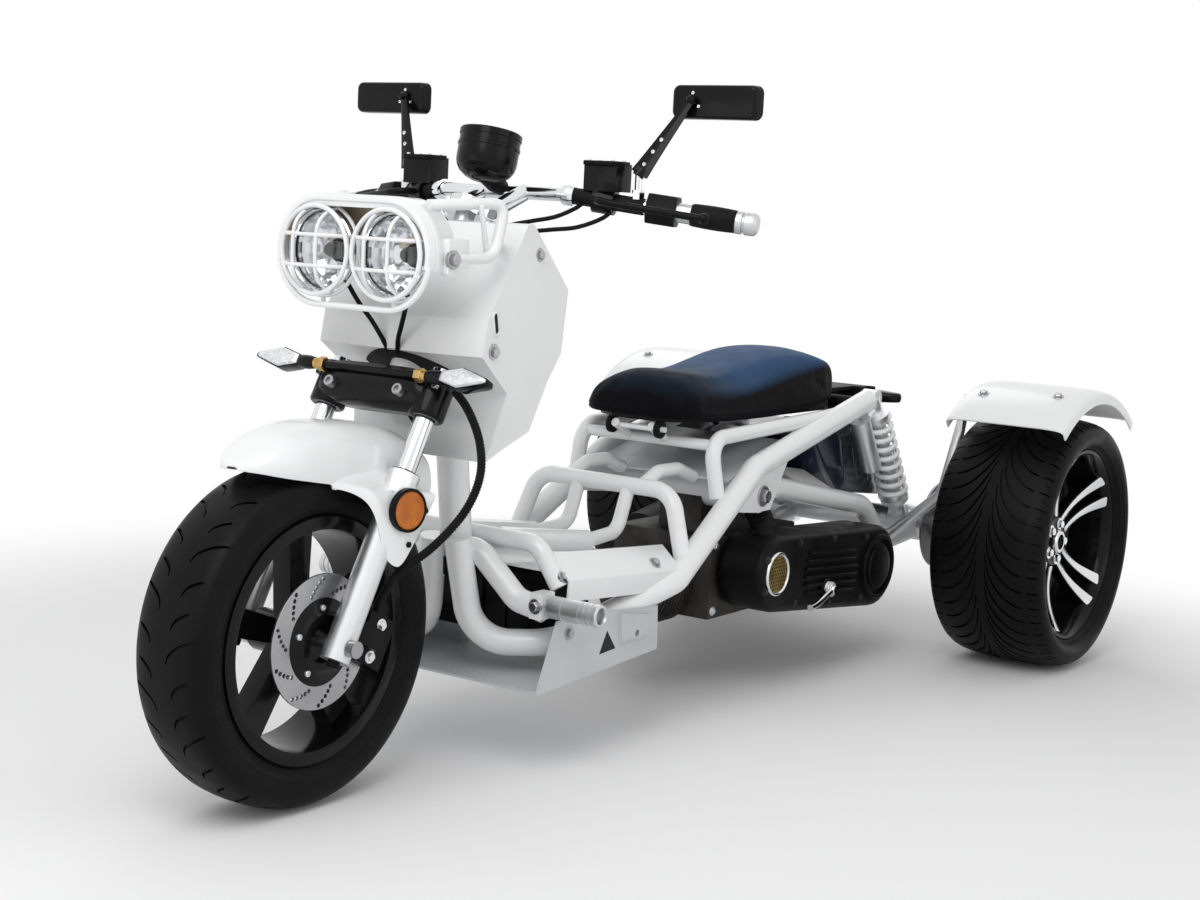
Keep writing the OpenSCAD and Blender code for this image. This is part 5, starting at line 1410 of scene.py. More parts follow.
def rimBarrel(s, centre, out):
    b, l, r, e = s["bead"], s["lip"], s["seat"], s["lipR"]
    wall = [(r - 8, -l), (e, -l), (e, -l + 4), (r, -b), (r, b), (e - 1, b + 1), (e, l - 1.5), (e - 1.5, l),
            (e - 7, l), (r - 2, l - 6), (r - 5, l - 14), (r - 8, l - 22), (r - 8, 10), (r - 12, 4),
            (r - 12, -40)]
    return lathe(wall, centre, out, 128, ring=True)


def spokePair(s, centre, out, angle):
    # rings of each spoke run from the hub out to the barrel
    dark, bright = [], []
    up = Matrix.Rotation(angle, 3, "Y") @ Vector((0, 0, 1))
    across = up.cross(out)
    for side in (-1, 1):
        deep, skin = [], []
        for k in range(11):
            t = k / 10
            r = s["hubR"] - 8 + (s["seat"] + 2 - s["hubR"] + 8) * t
            face = s["rootOut"] + (s["tipOut"] - s["rootOut"]) * t ** 2.4
            a, b = (s["rootHalf"][i] + (s["tipHalf"][i] - s["rootHalf"][i]) * (t ** 1.5) for i in (0, 1))
            a, b = a + 2 * sin(pi * t), b - 3 * sin(pi * t)
            mid, half = side * (a + b) / 2, (b - a) / 2

            def spot(w, d):
                return centre + up * r + across * (mid + w) + out * (face + d)
            low, high = -s["thick"] * (1 - 0.3 * t), s["face"]
            back = ((-1, -1.2), (-0.9, low), (0.9, low), (1, -1.2), (0.5, -0.4), (-0.5, -0.4))
            deep.append([spot(half * w, d) for w, d in back])
            front = ((-0.9, -1.0), (0.9, -1.0), (0.86, high / 2), (0.6, high), (-0.6, high),
                     (-0.86, high / 2))
            skin.append([spot(half * w, d) for w, d in front])
        dark.append(loft(deep))
        bright.append(loft(skin))
    return dark, bright


def makeRearRim(s, side):
    centre, out = Vector((site["rearX"], side * site["rearY"], site["rearZ"])), leftward * side
    end = "Left" if side > 0 else "Right"
    body, node = "rear_wheel_" + end.lower(), "rear_rim_" + end.lower()
    black, silver = newBag(), newBag()
    put(black, rimBarrel(s, centre, out))
    r = s["hubR"]
    hub = [(14.3, -57), (r, -57), (r, 40), (r - 3, 46), (r - 8, 50), (26, 50), (25, 54), (14.3, 54)]
    put(black, lathe(hub, centre, out, 96, ring=True))
    for i in range(s["pairs"]):
        dark, bright = spokePair(s, centre, out, radians(s["turn"] + 360 / s["pairs"] * i))
        for shape in dark:
            put(black, shape)
        for shape in bright:
            put(silver, shape)
    makePiece("rearRim" + end, black, ["blackGloss"], body, (node,), sharp=32)
    put(silver, lathe([(15.5, 52), (24, 52), (24, 58), (21, 61), (15.5, 61)], centre, out, 48, ring=True))
    makePiece("rearSpokeFaces" + end, silver, ["machinedSilver"], body, sharp=32)
    nuts = []
    for i in range(s["lugs"]):
        a = radians(s["turn"] + 36 + 360 / s["lugs"] * i)
        nuts.append((centre + Vector((s["lugR"] * sin(a), 0, s["lugR"] * cos(a))) + out * 50, out, 8.5))
    makeBolts("lugNuts" + end, "hex", nuts, "brightChrome", body, False)


makeRearRim(rearRim, 1)
makeRearRim(rearRim, -1)
softCopy("front_rim", "frontRimSoft", "blackGloss", "front_wheel", 3.0, 3)
print("rims ready")

# bars: smooth grips with alloy collars and banded ends, gauge, mirrors
bar = dict(knee=(399.5, 120, 880), tip=(307.5, 392, 850),
           collar=(0.615, 0.70), grip=(0.70, 0.935), gripR=17.6, endR=17.4, past=16.0, sleeve=(0.03, 0.44),
           sleeveR=12.8, bore=11.2)


def onBar(share, up=0.0):
    return Vector(bar["knee"]).lerp(Vector(bar["tip"]), share) + Vector((0, 0, up))


def makeGrips(s):
    along = (Vector(s["tip"]) - Vector(s["knee"]))
    span = along.length
    rubber, alloy = newBag(), newBag()
    a, b = (share * span for share in s["grip"])
    r, bore = s["gripR"], s["bore"]
    wave = [(bore, a), (r - 1.4, a), (r - 0.4, a + 1.4)]
    for k in range(13):
        u = k / 12
        wave.append((r - 0.4 + 0.9 * sin(pi * u), a + 3 + (b - a - 6) * u))
    wave += [(r - 0.4, b - 1.4), (r - 1.4, b), (bore, b)]
    both(rubber, lathe(wave, s["knee"], along, 40, ring=True))
    c0, c1 = (share * span for share in s["collar"])
    collar = [(bore, c0), (14, c0), (15, c0 + 1), (15, c1 - 3), (16.4, c1 - 2), (16.4, c1 - 0.6),
              (bore, c1 - 0.4)]
    both(alloy, lathe(collar, s["knee"], along, 40, ring=True))
    e0, e1 = b + 0.5, span + s["past"]
    r = s["endR"]
    endCap = [(0, e0), (r - 1, e0), (r, e0 + 1), (r, e0 + 9), (r - 0.8, e0 + 10), (r - 3.4, e0 + 10.6),
              (r - 3.4, e0 + 13), (r - 0.8, e0 + 13.6), (r, e0 + 14.6), (r, e1 - 8), (r - 1.6, e1 - 4),
              (r - 5, e1 - 1), (r - 9, e1), (0, e1)]
    both(alloy, lathe(endCap, s["knee"], along, 40))
    d0, d1 = (share * span for share in s["sleeve"])
    r = s["sleeveR"]
    sleeve = [(bore, d0), (r - 1, d0), (r, d0 + 1.5), (r, d1 - 1.5), (r - 1, d1), (bore, d1)]
    both(rubber, lathe(sleeve, s["knee"], along, 32, ring=True))
    makePiece("gripSleeves", rubber, ["blackRubber"], "steering", ("hand_grips",), sharp=40)
    makePiece("gripMetal", alloy, ["dullAlloy"], "steering", sharp=30)


makeGrips(bar)

gaugeCup = dict(foot=(447.5, 0, 910), tilt=radians(12), ticks=11, sweep=270.0, start=-225.0,
                needleAt=-3.6, faceH=54.8,
                cup=[(0, -16), (20, -16), (30, -12), (40, -4), (45, 4), (47, 12), (47.4, 20), (47.4, 34),
                     (48.6, 35), (48.6, 39), (47.4, 40), (47.4, 50), (48.6, 51), (48.6, 59), (47, 61),
                     (44.5, 61), (43.5, 57), (43.5, 54), (0, 54)],
                stalk=[(405, 0, 886), (424, 0, 892), (441, 0, 904), (448, 0, 914)], stalkR=[13, 14, 16, 20])


def makeGauge(s):
    axis = Vector((-sin(s["tilt"]), 0, cos(s["tilt"])))
    x, y, z = axesFor(axis, (1, 0, 0))
    cup, faceBag, glass = newBag(), newBag(), newBag()
    put(cup, lathe(s["cup"], s["foot"], axis, 72))
    put(faceBag, lathe([(0, 54), (43.2, 54), (43.2, s["faceH"]), (0, s["faceH"])], s["foot"], axis, 64), 0)
    foot = Vector(s["foot"]) + axis * s["faceH"]
    for k in range(s["ticks"]):
        a = radians(s["start"] + s["sweep"] * k / (s["ticks"] - 1))
        d = x * -sin(a) + y * cos(a)
        side = axis.cross(d)
        put(faceBag, prism([(-1, 31), (1, 31), (1, 39), (-1, 39)], foot, side, d, 0.5), 1)
    needle = x * -sin(s["needleAt"]) + y * cos(s["needleAt"])
    put(faceBag, prism([(-1.6, -7), (1.6, -7), (0.6, 33), (-0.6, 33)], foot + axis * 1.2, axis.cross(needle),
                       needle, 0.8), 2)
    put(faceBag, lathe([(0, 0), (4.5, 0), (4.5, 3), (0, 3.4)], foot, axis, 20), 0)
    put(glass, lathe([(0, 58.2), (43.4, 57.4), (43.4, 58.4), (0, 59.4)], s["foot"], axis, 64))
    makePiece("gaugeCup", cup, ["blackGloss"], "steering", ("gauge",), sharp=25)
    makePiece("gaugeFace", faceBag, ["blackPlastic", "whitePaint", "needleOrange"], "steering", sharp=30)
    makePiece("gaugeGlass", glass, ["clearLens"], "steering", sharp=60)
    stalk = newBag()
    put(stalk, tube(s["stalk"], s["stalkR"], 16))
    makePiece("gaugeStalk", stalk, ["blackPlastic"], "steering", sharp=40)


makeGauge(gaugeCup)

mirror = dict(foot=0.40, neck=48.0, head=(-62, 92, 160), mount=(0, -36, 2), wide=150.0, tall=51.0, deep=22.0,
              armLow=15.0, armHigh=6.0,
              # the case from glass to back: depth, growth, corner
              case=((-11, -1, 11), (-9, 0.6, 12), (-7, 0, 12), (4, 0, 12), (8, -1.6, 11), (10, -4, 9),
                    (10.6, -7, 7)),
              armBolts=(0.13, 0.3, 0.46), mountBolts=((-11, -9), (11, -9), (0, 11)))


def makeMirrors(s):
    black, glass, metal = newBag(), newBag(), newBag()
    foot = onBar(s["foot"])
    neck, head = foot + Vector((0, 0, s["neck"])), foot + Vector(s["head"])
    x, y, z = leftward, upward, Vector((1, 0, 0))
    rings = []
    for depth, grow, corner in s["case"]:
        outline = roundRect(s["wide"] + grow * 2, s["tall"] + grow * 1.2, corner, 6)
        rings.append([head + z * depth + x * a + y * b for a, b in outline])
    both(black, loft(rings))
    both(glass, prism(roundRect(s["wide"] - 6, s["tall"] - 6, 15, 6), head - z * (s["deep"] / 2 + 0.4), x, y,
                      1.2))
    hold = head + Vector(s["mount"])
    along = (hold + z * 14 - neck)
    side = along.cross(z).normalized()
    arm = []
    for k in range(9):
        t = k / 8
        half = s["armLow"] + (s["armHigh"] - s["armLow"]) * t ** 0.8
        o = neck + along * (t * 0.97)
        w = side * half
        arm.append([o + w + z * 2, o + z * 4.2, o - w + z * 2, o - w - z * 2, o - z * 4.2, o + w - z * 2])
    both(black, loft(arm))
    both(black, lathe([(0, -7), (7, -5), (10, 0), (7, 5), (0, 7)], hold + z * 15, along, 20))
    both(black, lathe([(0, -4), (9, -4), (9, 6), (7.5, 10), (0, 10)], neck, along, 24))
    both(metal, tube([foot, neck], 6.0, 16))
    both(metal, lathe([(0, 10), (10, 10), (10, 24), (0, 24)], foot, (0, 0, 1), 6))
    makePiece("mirrorCases", black, ["blackGloss"], "steering", ("mirrors",), sharp=38)
    makePiece("mirrorGlass", glass, ["brightChrome"], "steering", bevel=0.4)
    makePiece("mirrorStems", metal, ["brightChrome"], "steering", sharp=30)
    spots = [(neck + along * t + z * 3.6, z, 3.1) for t in s["armBolts"]]
    spots += [(hold + z * 10.2 + x * a + y * b, z, 2.6) for a, b in s["mountBolts"]]
    makeBolts("mirrorBolts", "socket", spots, "satinAlloy", "steering")


makeMirrors(mirror)

# hand controls: rounded copies, reservoir lids, a bright ball on each side of the bar
softCopy("switch_pods", "podsSoft", "blackPlastic", "steering", 3.0, 3)
softCopy("master_cylinders", "mastersSoft", "blackGloss", "steering", 2.5, 3)
controls = dict(lidAt=(0.22, 57.0), lid=(47, 61, 7), screws=((-15, -22), (-15, 22), (15, -22), (15, 22)),
                ballAt=0.02,
                ball=[(11.2, -9), (15, -9), (16.5, -5), (16.5, 5), (15, 9), (11.2, 9)])


def makeControls(s):
    black = newBag()
    top = onBar(*s["lidAt"])
    w, l, t = s["lid"]
    outline = roundRect(w, l, 7)
    both(black, prism(outline, top - Vector((0, 0, t * 0.6)), (1, 0, 0), (0, 1, 0), t))
    makePiece("reservoirLids", black, ["blackPlastic"], "steering", bevel=1.6)
    spots = [(top + Vector((dx, dy, t * 0.4)), (0, 0, 1), 2.6) for dx, dy in s["screws"]]
    makeBolts("lidScrews", "socket", spots, "satinAlloy", "steering")
    rings = newBag()
    along = Vector(bar["tip"]) - Vector(bar["knee"])
    both(rings, lathe(s["ball"], onBar(s["ballAt"]), along, 32, ring=True))
    makePiece("barBalls", rings, ["brightChrome"], "steering", sharp=40)


makeControls(controls)
print("bars ready")


# front signals: a cross bar with brass nuts, a dark diamond case at each end with a clear lens
signal = dict(x=40.3, z=398.0, barR=6.0, near=134.0, long=90.0, tall=34.0,
              outline=[(0, 0.22), (0.06, 0.27), (0.42, 0.5), (0.94, 0.14), (1, 0.06)], back=20.0, front=7.0,
              lens=9.0, nutAt=88.0)


def makeSignals(s):
    black, clear, silver, nuts = newBag(), newBag(), newBag(), newBag()
    root = forkPoint(s["x"], 0, s["z"])
    half = [(s["near"] + s["long"] * a, s["tall"] * b) for a, b in s["outline"]]
    outline = half + [(a, -b) for a, b in reversed(half)]
    mid = s["near"] + s["long"] * 0.47

    def ring(share, ahead):
        return [root + leftward * (mid + (a - mid) * share) + forkUp * b * share + forkAhead * ahead
                for a, b in outline]
    put(black, tube([root - leftward * (s["near"] + 8), root + leftward * (s["near"] + 8)], s["barR"], 20))
    r, f, back = s["barR"], s["front"], s["back"]
    sleeve = [(r, 0), (9, 3), (10.5, 12), (10.5, 26), (8, 32), (r, 34)]
    both(black, lathe(sleeve, root + leftward * (s["near"] - 26), leftward, 24))
    both(black, loft([ring(share, d) for share, d in (
        (0.5, -back), (0.82, -back * 0.8), (0.97, -back * 0.3), (1, 0), (1, f), (0.97, f + 1.2),
        (0.92, f + 1.2), (0.91, f - 1.5))]))
    both(silver, loft([ring(0.89, f - 2.5), ring(0.9, f - 1.2)]))
    both(clear,
         loft([ring(0.905, f - 0.8), ring(0.9, f + 2.5), ring(0.78, f + 5.5), ring(0.4, f + s["lens"])]))
    spot = root + leftward * s["nutAt"]
    both(nuts, lathe([(r, 0), (10, 0), (11, 1.5), (11, 11), (10, 12.5), (r, 12.5)], spot, leftward, 6,
                     ring=True))
    both(nuts, lathe([(r, 12), (8.5, 12), (8.5, 20), (r, 20)], spot, leftward, 24, ring=True))
    makePiece("signalCases", black, ["blackGloss"], "steering", ("front_signals",), sharp=30)
    makePiece("signalMirrors", silver, ["brightChrome"], "steering", sharp=20)
    makePiece("signalLenses", clear, ["facetLens"], "steering", sharp=15)
    makePiece("signalNuts", nuts, ["brass"], "steering", sharp=25)


makeSignals(signal)

# fork: rounded copies, the bridge with its clamp bolts, dust seals, caliper bolts
softCopy("brake_caliper", "caliperSoft", "blackPlastic", "steering", 5.0, 3)
softCopy("fork_tubes", "tubesSoft", "brightChrome", "steering", 0.6, 2)
softCopy("fork_sliders", "slidersSoft", "satinAlloy", "steering", 1.2, 2)
fork = dict(legY=96.0, clampR=27.0, clampZ=(348, 414), bolts=[(39.5, 66, 372, 8.6), (22, 112, 392, 5.0)],
            sealZ=262.0, footZ=-22.0, bore=15.1, caliper=(-84, 82, 34), caliperBolts=(-24, 24), middle=384.0,
            # across the bridge: y, share of the section
            across=((-100, 0.78), (-84, 0.92), (-60, 0.98), (-30, 1), (30, 1), (60, 0.98), (84, 0.92),
                    (100, 0.78)),
            # the bridge's section: ahead of the legs, up the legs
            section=[(-30, 380), (-26, 364), (-14, 354), (14, 350), (28, 354), (37, 368), (39, 386),
                     (35, 406), (28, 414), (-24, 414), (-30, 408)])


def makeFork(s):
    bag = newBag()
    rings = []
    mid = s["middle"]
    for y, share in s["across"]:
        tall = 0.4 + 0.6 * share
        rings.append([forkPoint(x * share, y, mid + (z - mid) * tall) for x, z in s["section"]])
    put(bag, loft(rings))
    low, high = s["clampZ"]
    r, bore = s["clampR"], s["bore"]
    both(bag, lathe([(bore, low), (r - 3, low), (r, low + 3), (r, high - 3), (r - 3, high), (bore, high)],
                    forkPoint(0, s["legY"], 0), forkUp, 48, ring=True))
    makePiece("bridgeCasting", bag, ["blackGloss"], "steering", ("fork_bridge",), bevel=2.0, sharp=40)
    bag = newBag()
    root = forkPoint(0, s["legY"], s["sealZ"])
    both(bag, lathe([(bore, -2), (22, -2), (22.4, 0), (22, 1.6), (17, 3.5), (bore, 3.5)], root, forkUp, 40,
                    ring=True))
    foot = forkPoint(0, s["legY"], s["footZ"])
    both(bag, lathe([(0, -9), (8, -9), (9, -8), (9, 2), (0, 2)], foot, forkUp, 24))
    makePiece("forkSeals", bag, ["blackRubber"], "steering", sharp=35)
    makeBolts("bridgeBolts", "socket", [(forkPoint(x, y, z), forkAhead, r) for x, y, z, r in s["bolts"]],
              "groundSteel", "steering")
    spots = [(forkPoint(*s["caliper"]) + forkUp * d, leftward, 6.5) for d in s["caliperBolts"]]
    makeBolts("caliperBolts", "hex", spots, "satinAlloy", "steering", False)


makeFork(fork)

# foot pegs: ringed alloy bars with recessed ends
peg = dict(x=475.5, z=260.0, root=179.0, long=100.0, r=17.5, grooves=(34, 66, 76, 86))


def makePegs(s):
    r, end = s["r"], s["long"]
    profile = [(0, 0), (11, 0), (11, 7), (r - 1, 8), (r, 9)]
    for h in s["grooves"]:
        profile += [(r, h), (r - 1.6, h + 0.8), (r - 1.6, h + 2.6), (r, h + 3.4)]
    profile += [(r, end - 2), (r - 2, end), (13, end), (11.5, end - 3), (11.5, end - 16), (0, end - 16)]
    bag = newBag()
    both(bag, lathe(profile, (s["x"], s["root"], s["z"]), leftward, 48))
    makePiece("pegBars", bag, ["dullAlloy"], "chassis", ("foot_pegs",), sharp=30)


makePegs(peg)

# drive cover: rounded shell with ribs, a ringed rear cap, a grille in a bright ring, a kick-start
cover = dict(front=(-205.5, 222), rear=(-590.5, 190), face=198.0, ribs=6, ribGap=15.0, ribFrom=0.22,
             ribTo=0.76, grille=(-190, 226), grilleR=37.0, pitch=7.6, hole=2.9, capR=64.0, kick=(-372, 176),
             kickArm=((0, 18, 0), (26, 19, -8), (62, 22, -18), (96, 26, -20)),
             kickSpring=dict(Turns=3.2, Radius=0.0125, Height=0.012, Wire=0.0017),
             # along the cover as a share, above its middle
             bolts=((-0.13, 28), (-0.13, -28), (0.16, 56), (0.16, -54), (0.84, 60), (0.84, -58), (0.5, 61),
                    (0.5, -60)))


def makeCover(s):
    softCopy("drive_cover", "coverSoft", "blackPlastic", "chassis", 15.0, 5)
    black, bright = newBag(), newBag()
    front, rear = (Vector((p[0], s["face"] - 1, p[1])) for p in (s["front"], s["rear"]))
    along = (rear - front).normalized()
    up = along.cross(leftward)
    up = up if up.z > 0 else -up
    span = (rear - front).length
    for k in range(s["ribs"]):
        off = (k - (s["ribs"] - 1) / 2) * s["ribGap"]
        a, b = s["ribFrom"] * span + abs(off) * 0.3, s["ribTo"] * span - abs(off) * 0.45
        put(black, prism(roundRect(b - a, 6, 2.9), front + along * (a + b) / 2 + up * off, along, up,
                         7 if along.cross(up).y > 0 else -7))
    r = s["capR"]
    put(black, lathe([(r - 9, -2), (r, -2), (r, 3.5), (r - 2, 5.5), (r - 7, 5.5), (r - 9, 3)], rear,
                     leftward, 72, ring=True))
    put(black, lathe([(0, -2), (44, -2), (44, 3), (41, 6.5), (30, 8.5), (0, 9.5)], rear, leftward, 64))
    kick = Vector((s["kick"][0], s["face"], s["kick"][1]))
    put(black, lathe([(0, -3), (19, -3), (19, 5), (16, 9), (0, 9)], kick, leftward, 40))
    put(bright, lathe([(0, 6), (8, 6), (8, 23), (6.5, 25), (0, 25)], kick, leftward, 24))
    put(bright, tube(smoothPath([kick + Vector(p) for p in s["kickArm"]], 5), 6.0, 12))
    spot = Vector((s["grille"][0], s["face"], s["grille"][1]))
    ring = circle(spot + leftward * 1.5, Vector((1, 0, 0)), upward, s["grilleR"], 56)
    put(bright, tube(ring, 3.6, 10, True))
    makePiece("coverTrim", black, ["blackPlastic"], "chassis", bevel=0.8)
    makePiece("coverMetal", bright, ["brightChrome"], "chassis", sharp=40)
    plate = newBag()
    put(plate, lathe([(0, 0.4), (s["grilleR"], 0.4), (s["grilleR"], 3), (0, 3)], spot, leftward, 56))
    holes = []
    for i in range(-6, 7):
        for k in range(-6, 7):
            dx, dz = s["pitch"] * (i + 0.5 * (k % 2)), s["pitch"] * 0.866 * k
            if hypot(dx, dz) < s["grilleR"] - 6:
                holes.append(spot + Vector((dx, 2.4, dz)))
    drilled("coverGrille", plate, "brassMesh", holes, s["hole"], 3.2, "chassis", (), 10)
    # a near-black disc of painted shade behind the grille's holes
    rim = newBag()
    put(rim, lathe([(0, -1), (s["grilleR"] - 1, -1), (s["grilleR"] - 1, 0.35), (0, 0.35)], spot, leftward,
                   40))
    makePiece("grilleBack", rim, ["darkGap"], "chassis")
    place = Matrix.Translation((kick + leftward * 8) * mm) @ Matrix.Rotation(-pi / 2, 4, "X")
    makeCoil("kickSpring", place, "satinAlloy", **s["kickSpring"])
    bolts = [(front + along * span * t + up * h + leftward * 0.2, leftward, 5.0) for t, h in s["bolts"]]
    makeBolts("coverBolts", "hex", bolts, "castMetal", "chassis", False)


makeCover(cover)

# intake boot: ribbed rubber with a clamp at each end
boot = dict(route=[(-212.5, 150, 240), (-214, 150, 272), (-221, 148, 296), (-240, 128, 314),
                   (-280.5, 84, 330)], r=23.0, rib=11.0,
            # how far each step of a rib sinks, and the clamps' stretches of the path
            sink=(0, 0.6, 2.6, 3.2, 2.6, 0.6), clamps=((10, 15), (-16, -11)))


def makeBoot(s):
    path = smoothPath(s["route"], 10)
    path = evenPath(path, 6 * int(pathLength(path) / s["rib"]))
    bag = newBag()
    put(bag, tube(path, [s["r"] - s["sink"][k % 6] for k in range(len(path))], 28), 0)
    for a, b in s["clamps"]:
        put(bag, tube(path[a:b], s["r"] + 1.2, 28), 1)
    makePiece("intakeBoot", bag, ["blackRubber", "satinAlloy"], "chassis", ("intake_duct",), sharp=50)


makeBoot(boot)

# engine, tank and muffler: rounded copies, barrel fins, a pressed seam round the tank
softCopy("engine_block", "engineSoft", "castMetal", "chassis", 9.0, 3)
softCopy("fuel_tank", "tankSoft", "navyGloss", "chassis", 15.0, 5)
softCopy("muffler", "mufflerSoft", "blackPlastic", "chassis", 5.0, 3)
engine = dict(barrel=(-120.5, -5, 190), long=104.0, finR=70.0, coreR=60.0, fins=9,
              seam=[(-400.5, 436), (-540.5, 466), (-690.5, 452), (-790.5, 404), (-854.5, 330), (-844.5, 296),
                    (-700.5, 312), (-560.5, 330), (-420.5, 386)],
              seamOut=6.0, caseBolts=((-135, 150), (-135, 270)),
              ribs=[((-560, 440), (-590, 350)), ((-610, 446), (-640, 345)), ((-660, 440), (-690, 340))])


def makeEngine(s):
    fins, seam = newBag(), newBag()
    core, out = s["coreR"], s["finR"]
    profile = [(core, 0)]
    for k in range(s["fins"]):
        h = k * s["long"] / s["fins"]
        profile += [(core, h + 3), (out, h + 4.5), (out, h + 7), (core, h + 8.5)]
    put(fins, lathe(profile + [(core - 4, s["long"]), (core - 4, 0)], s["barrel"], (1, 0, 0), 56, ring=True))
    makePiece("barrelFins", fins, ["castMetal"], "chassis", sharp=30)
    mid = Vector((sum(p[0] for p in s["seam"]), 0, sum(p[1] for p in s["seam"]))) / len(s["seam"])
    edge = [Vector((x, 0, z)) + (Vector((x, 0, z)) - mid).normalized() * s["seamOut"] for x, z in s["seam"]]
    put(seam, prism([(p.x, p.z) for p in edge], (0, 2.5, 0), (1, 0, 0), (0, 0, 1), 5))
    for (ax, az), (bx, bz) in s["ribs"]:
        both(seam, tube([(ax, 109, az), ((ax + bx) / 2, 110, (az + bz) / 2), (bx, 109, bz)], [4, 6.5, 4],
                        12))
    makePiece("tankSeam", seam, ["navyGloss"], "chassis", bevel=1.2)
    makeBolts("caseBolts", "hex", [((x, 100.2, z), leftward, 5.5) for x, z in s["caseBolts"]], "satinAlloy",
              "chassis", False)


makeEngine(engine)
print("engine side ready")

# rounded floor, panels and tail, then bolts over the frame and fairing and the slots in its sides
softCopy("tail_bracket", "tailSoft", "blackPlastic", "chassis", 2.0, 2)
softCopy("floor_panel", "floorSoft", "whitePaint", "chassis", 1.6, 2)
softCopy("under_seat_panel", "panelSoft", "greyPaint", "chassis", 1.6, 2)
softCopy("seat_base", "seatBaseSoft", "blackPlastic", "seat", 3.0, 2)
fixings = dict(
    frameHex=[((492.6, 168, 260), (1, 0, 0), 8.0), ((437.8, 177.9, 299.9), (-0.07, 0.84, 0.53), 6.5),
              ((182, 178, 289.7), (-0.06, 0.65, 0.76), 7.5), ((445.8, 200.1, 217.4), (0, 1, 0), 7.5),
              ((-196.5, 156.1, 362), (0, 1, 0), 13.0), ((-732.4, 331, 536.5), (0.35, 0, 0.94), 7.5),
              ((-752.7, 476.3, 543), (0.3, 0.04, 0.95), 7.5)],
    fairingHex=[((486.2, 141.9, 788.7), (-0.07, 1, 0.07), 7.0), ((606, 156.5, 649), (-0.09, 1, -0.03), 8.0),
                ((706, 157, 781), (0, 1, 0), 9.0)],
    slot=((604, 156.9, 690), (-0.08, 1, -0.02)), slotSize=(34, 13), slotUp=(0.25, 0, 1))


def makeFixings(s):
    makeBolts("frameBolts", "hex", s["frameHex"], "groundSteel", "chassis")
    makeBolts("fairingBolts", "hex", s["fairingHex"], "groundSteel", "chassis")
    lip, gap = newBag(), newBag()
    place, out = Vector(s["slot"][0]), Vector(s["slot"][1]).normalized()
    side = Vector(s["slotUp"]).cross(out).normalized()
    up = out.cross(side)
    w, h = s["slotSize"]
    ring = [place + side * b + up * a for a, b in roundRect(w, h, h / 2 - 0.2, 6)]
    both(lip, tube(ring, 2.4, 10, True))
    # a near-black plate of painted shade inside each slot
    both(gap, prism(roundRect(h - 2, w - 2, h / 2 - 1.4, 6), place - out * 1.5, side, up,
                    2.0 if side.cross(up).dot(out) > 0 else -2.0))
    makePiece("fairingSlotLips", lip, ["whitePaint"], "chassis", sharp=60)
    makePiece("fairingSlots", gap, ["darkGap"], "chassis")


makeFixings(fixings)
print("fixings ready")

# under the floor's front: a dark ribbed box, and a dark triangle of painted shade in the notch of each skid
# cheek
well = dict(x=(300.0, 408.0), half=138.0, z=(184.0, 294.0), corner=14.0, ribs=(-92, -46, 0, 46, 92),
            notch=[(362, 170), (318, 173), (343, 205)], notchY=200.0)


def makeWell(s):
    bag = newBag()
    (x0, x1), (z0, z1) = s["x"], s["z"]
    mid = ((x0 + x1) / 2, 0, z0)
    plan = roundRect(x1 - x0, 2 * s["half"], s["corner"], 5)
    put(bag, prism(plan, mid, (1, 0, 0), (0, 1, 0), z1 - z0 - 16))
    lid = roundRect(x1 - x0 + 6, 2 * s["half"] + 6, s["corner"] + 3, 5)
    put(bag, prism(lid, (mid[0], 0, z1 - 17), (1, 0, 0), (0, 1, 0), 14))
    for y in s["ribs"]:
        put(bag, prism(roundRect(8, z1 - z0 - 34, 2.5, 3), (x1 - 1, y, (z0 + z1) / 2 - 8), (0, 1, 0),
                       (0, 0, 1), 4))
    makePiece("floorWell", bag, ["blackPlastic"], "chassis", bevel=1.2, sharp=34)
    # a thin near-black triangle of painted shade on each skid cheek's notch
    gap = newBag()
    for side in (1, -1):
        y = side * (s["notchY"] - 0.4)
        ring = [[(x, y + side * d, z) for x, z in s["notch"]] for d in (0, 0.8)]
        put(gap, loft(ring))
    makePiece("skidNotches", gap, ["darkGap"], "chassis")


makeWell(well)

# tail: a bowed red lens over the plate holder and a leaf-shaped shell over each signal
tail = dict(x=-801.5, z=496.5, lens=(92, 36), bow=7.0, leafAt=(-779.0, 504.5), long=126.0,
            leaf=[(0.24, 0.24, 0.4), (0.32, 0.42, 0.52), (0.42, 0.57, 0.64), (0.55, 0.56, 0.68),
                  (0.7, 0.5, 0.66), (0.84, 0.41, 0.6), (0.94, 0.32, 0.55), (1.0, 0.2, 0.52),
                  (1.03, 0.08, 0.3)], wide=44.0, thick=18.0)


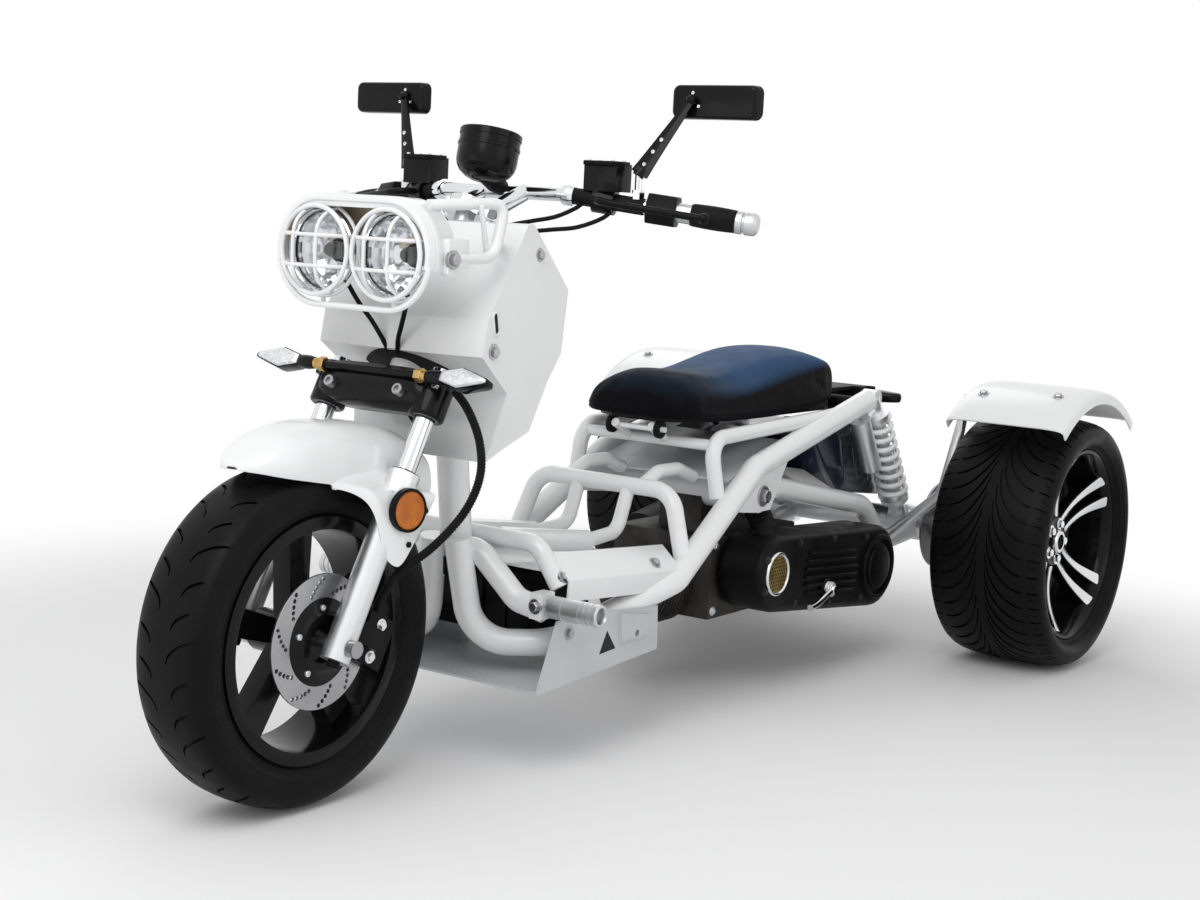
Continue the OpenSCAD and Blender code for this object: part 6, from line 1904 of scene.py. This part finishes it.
def makeTail(s):
    red, leaf = newBag(), newBag()
    w, h = s["lens"]
    rings = []
    for d, shrink in ((0.5, 0), (-2, 0), (-s["bow"] * 0.7, 3), (-s["bow"], 8)):
        rings.append([(s["x"] + d, y, s["z"] + z)
                      for y, z in roundRect(w - 2 * shrink, h - 2 * shrink, 9 - shrink * 0.4, 4)])
    put(red, loft(rings))
    makePiece("tailLens", red, ["redLens"], "chassis", sharp=40)
    x, z = s["leafAt"]
    rings = []
    for y, half, tall in s["leaf"]:
        ring = []
        for k in range(20):
            a = 2 * pi * k / 20
            c, q = cos(a), sin(a)
            ring.append((x + s["wide"] * half * copysign(abs(c) ** 0.55, c), s["long"] * y,
                         z + s["thick"] * tall * copysign(abs(q) ** 0.55, q)))
        rings.append(ring)
    both(leaf, loft(rings))
    makePiece("tailLeaves", leaf, ["blackGloss"], "chassis", sharp=60)


makeTail(tail)
print("tail and floor well ready")

# a dark sheet of painted shade over the mouth under the fairing's nose, where the lamp leads go in
mouthShade = dict(half=80.0, high=643.0, low=600.0, arch=24.0, across=24, down=8, proud=0.8, deep=0.8, reach=16.0,
             ahead=900.0,
             # the chin's lower edge, its x per height, its bow across, and the way it faces
             chin=(569.5, 585.0), slope=1.456, bow=8.0, facing=(0.566, 0, -0.824), stem=(395, 490, 20))


def makeMouthShade(s):
    shell = fairingShell.data
    tree = BVHTree.FromPolygons([v.co / mm for v in shell.vertices], [p.vertices for p in shell.polygons])
    chinX, chinZ = s["chin"]
    rings = []
    for i in range(s["down"] + 1):
        outer, inner = [], []
        for k in range(s["across"] + 1):
            c = 2 * k / s["across"] - 1
            high = s["high"] - s["arch"] * c * c
            z = high + (s["low"] - high) * i / s["down"]
            guess = Vector((chinX + (z - chinZ) * s["slope"] - s["bow"] * c * c, c * s["half"], z))
            spot, normal = tree.ray_cast(Vector((s["ahead"], guess.y, z)), Vector((-1, 0, 0)))[:2]
            if spot is None or (spot - guess).length > s["reach"]:
                spot, normal = guess, Vector(s["facing"])
            outer.append(spot + normal * s["proud"])
            inner.append(spot - normal * s["deep"])
        rings.append(outer + inner[::-1])
    bag = newBag()
    put(bag, loft(rings))
    # the sheet takes the near-black painted shade
    obj = linkMesh("fairingMouth", bagMesh("fairingMouth", bag, ["darkGap"]))
    low, high, r = s["stem"]
    carve(obj, rodCutter(stemPoint(low), stemPoint(high), r))
    shadeByAngle(obj.data, 50)
    enter(obj, "chassis")


makeMouthShade(mouthShade)
print("fairing mouth ready")

for head in boltHeads.values():
    bpy.data.objects.remove(head)
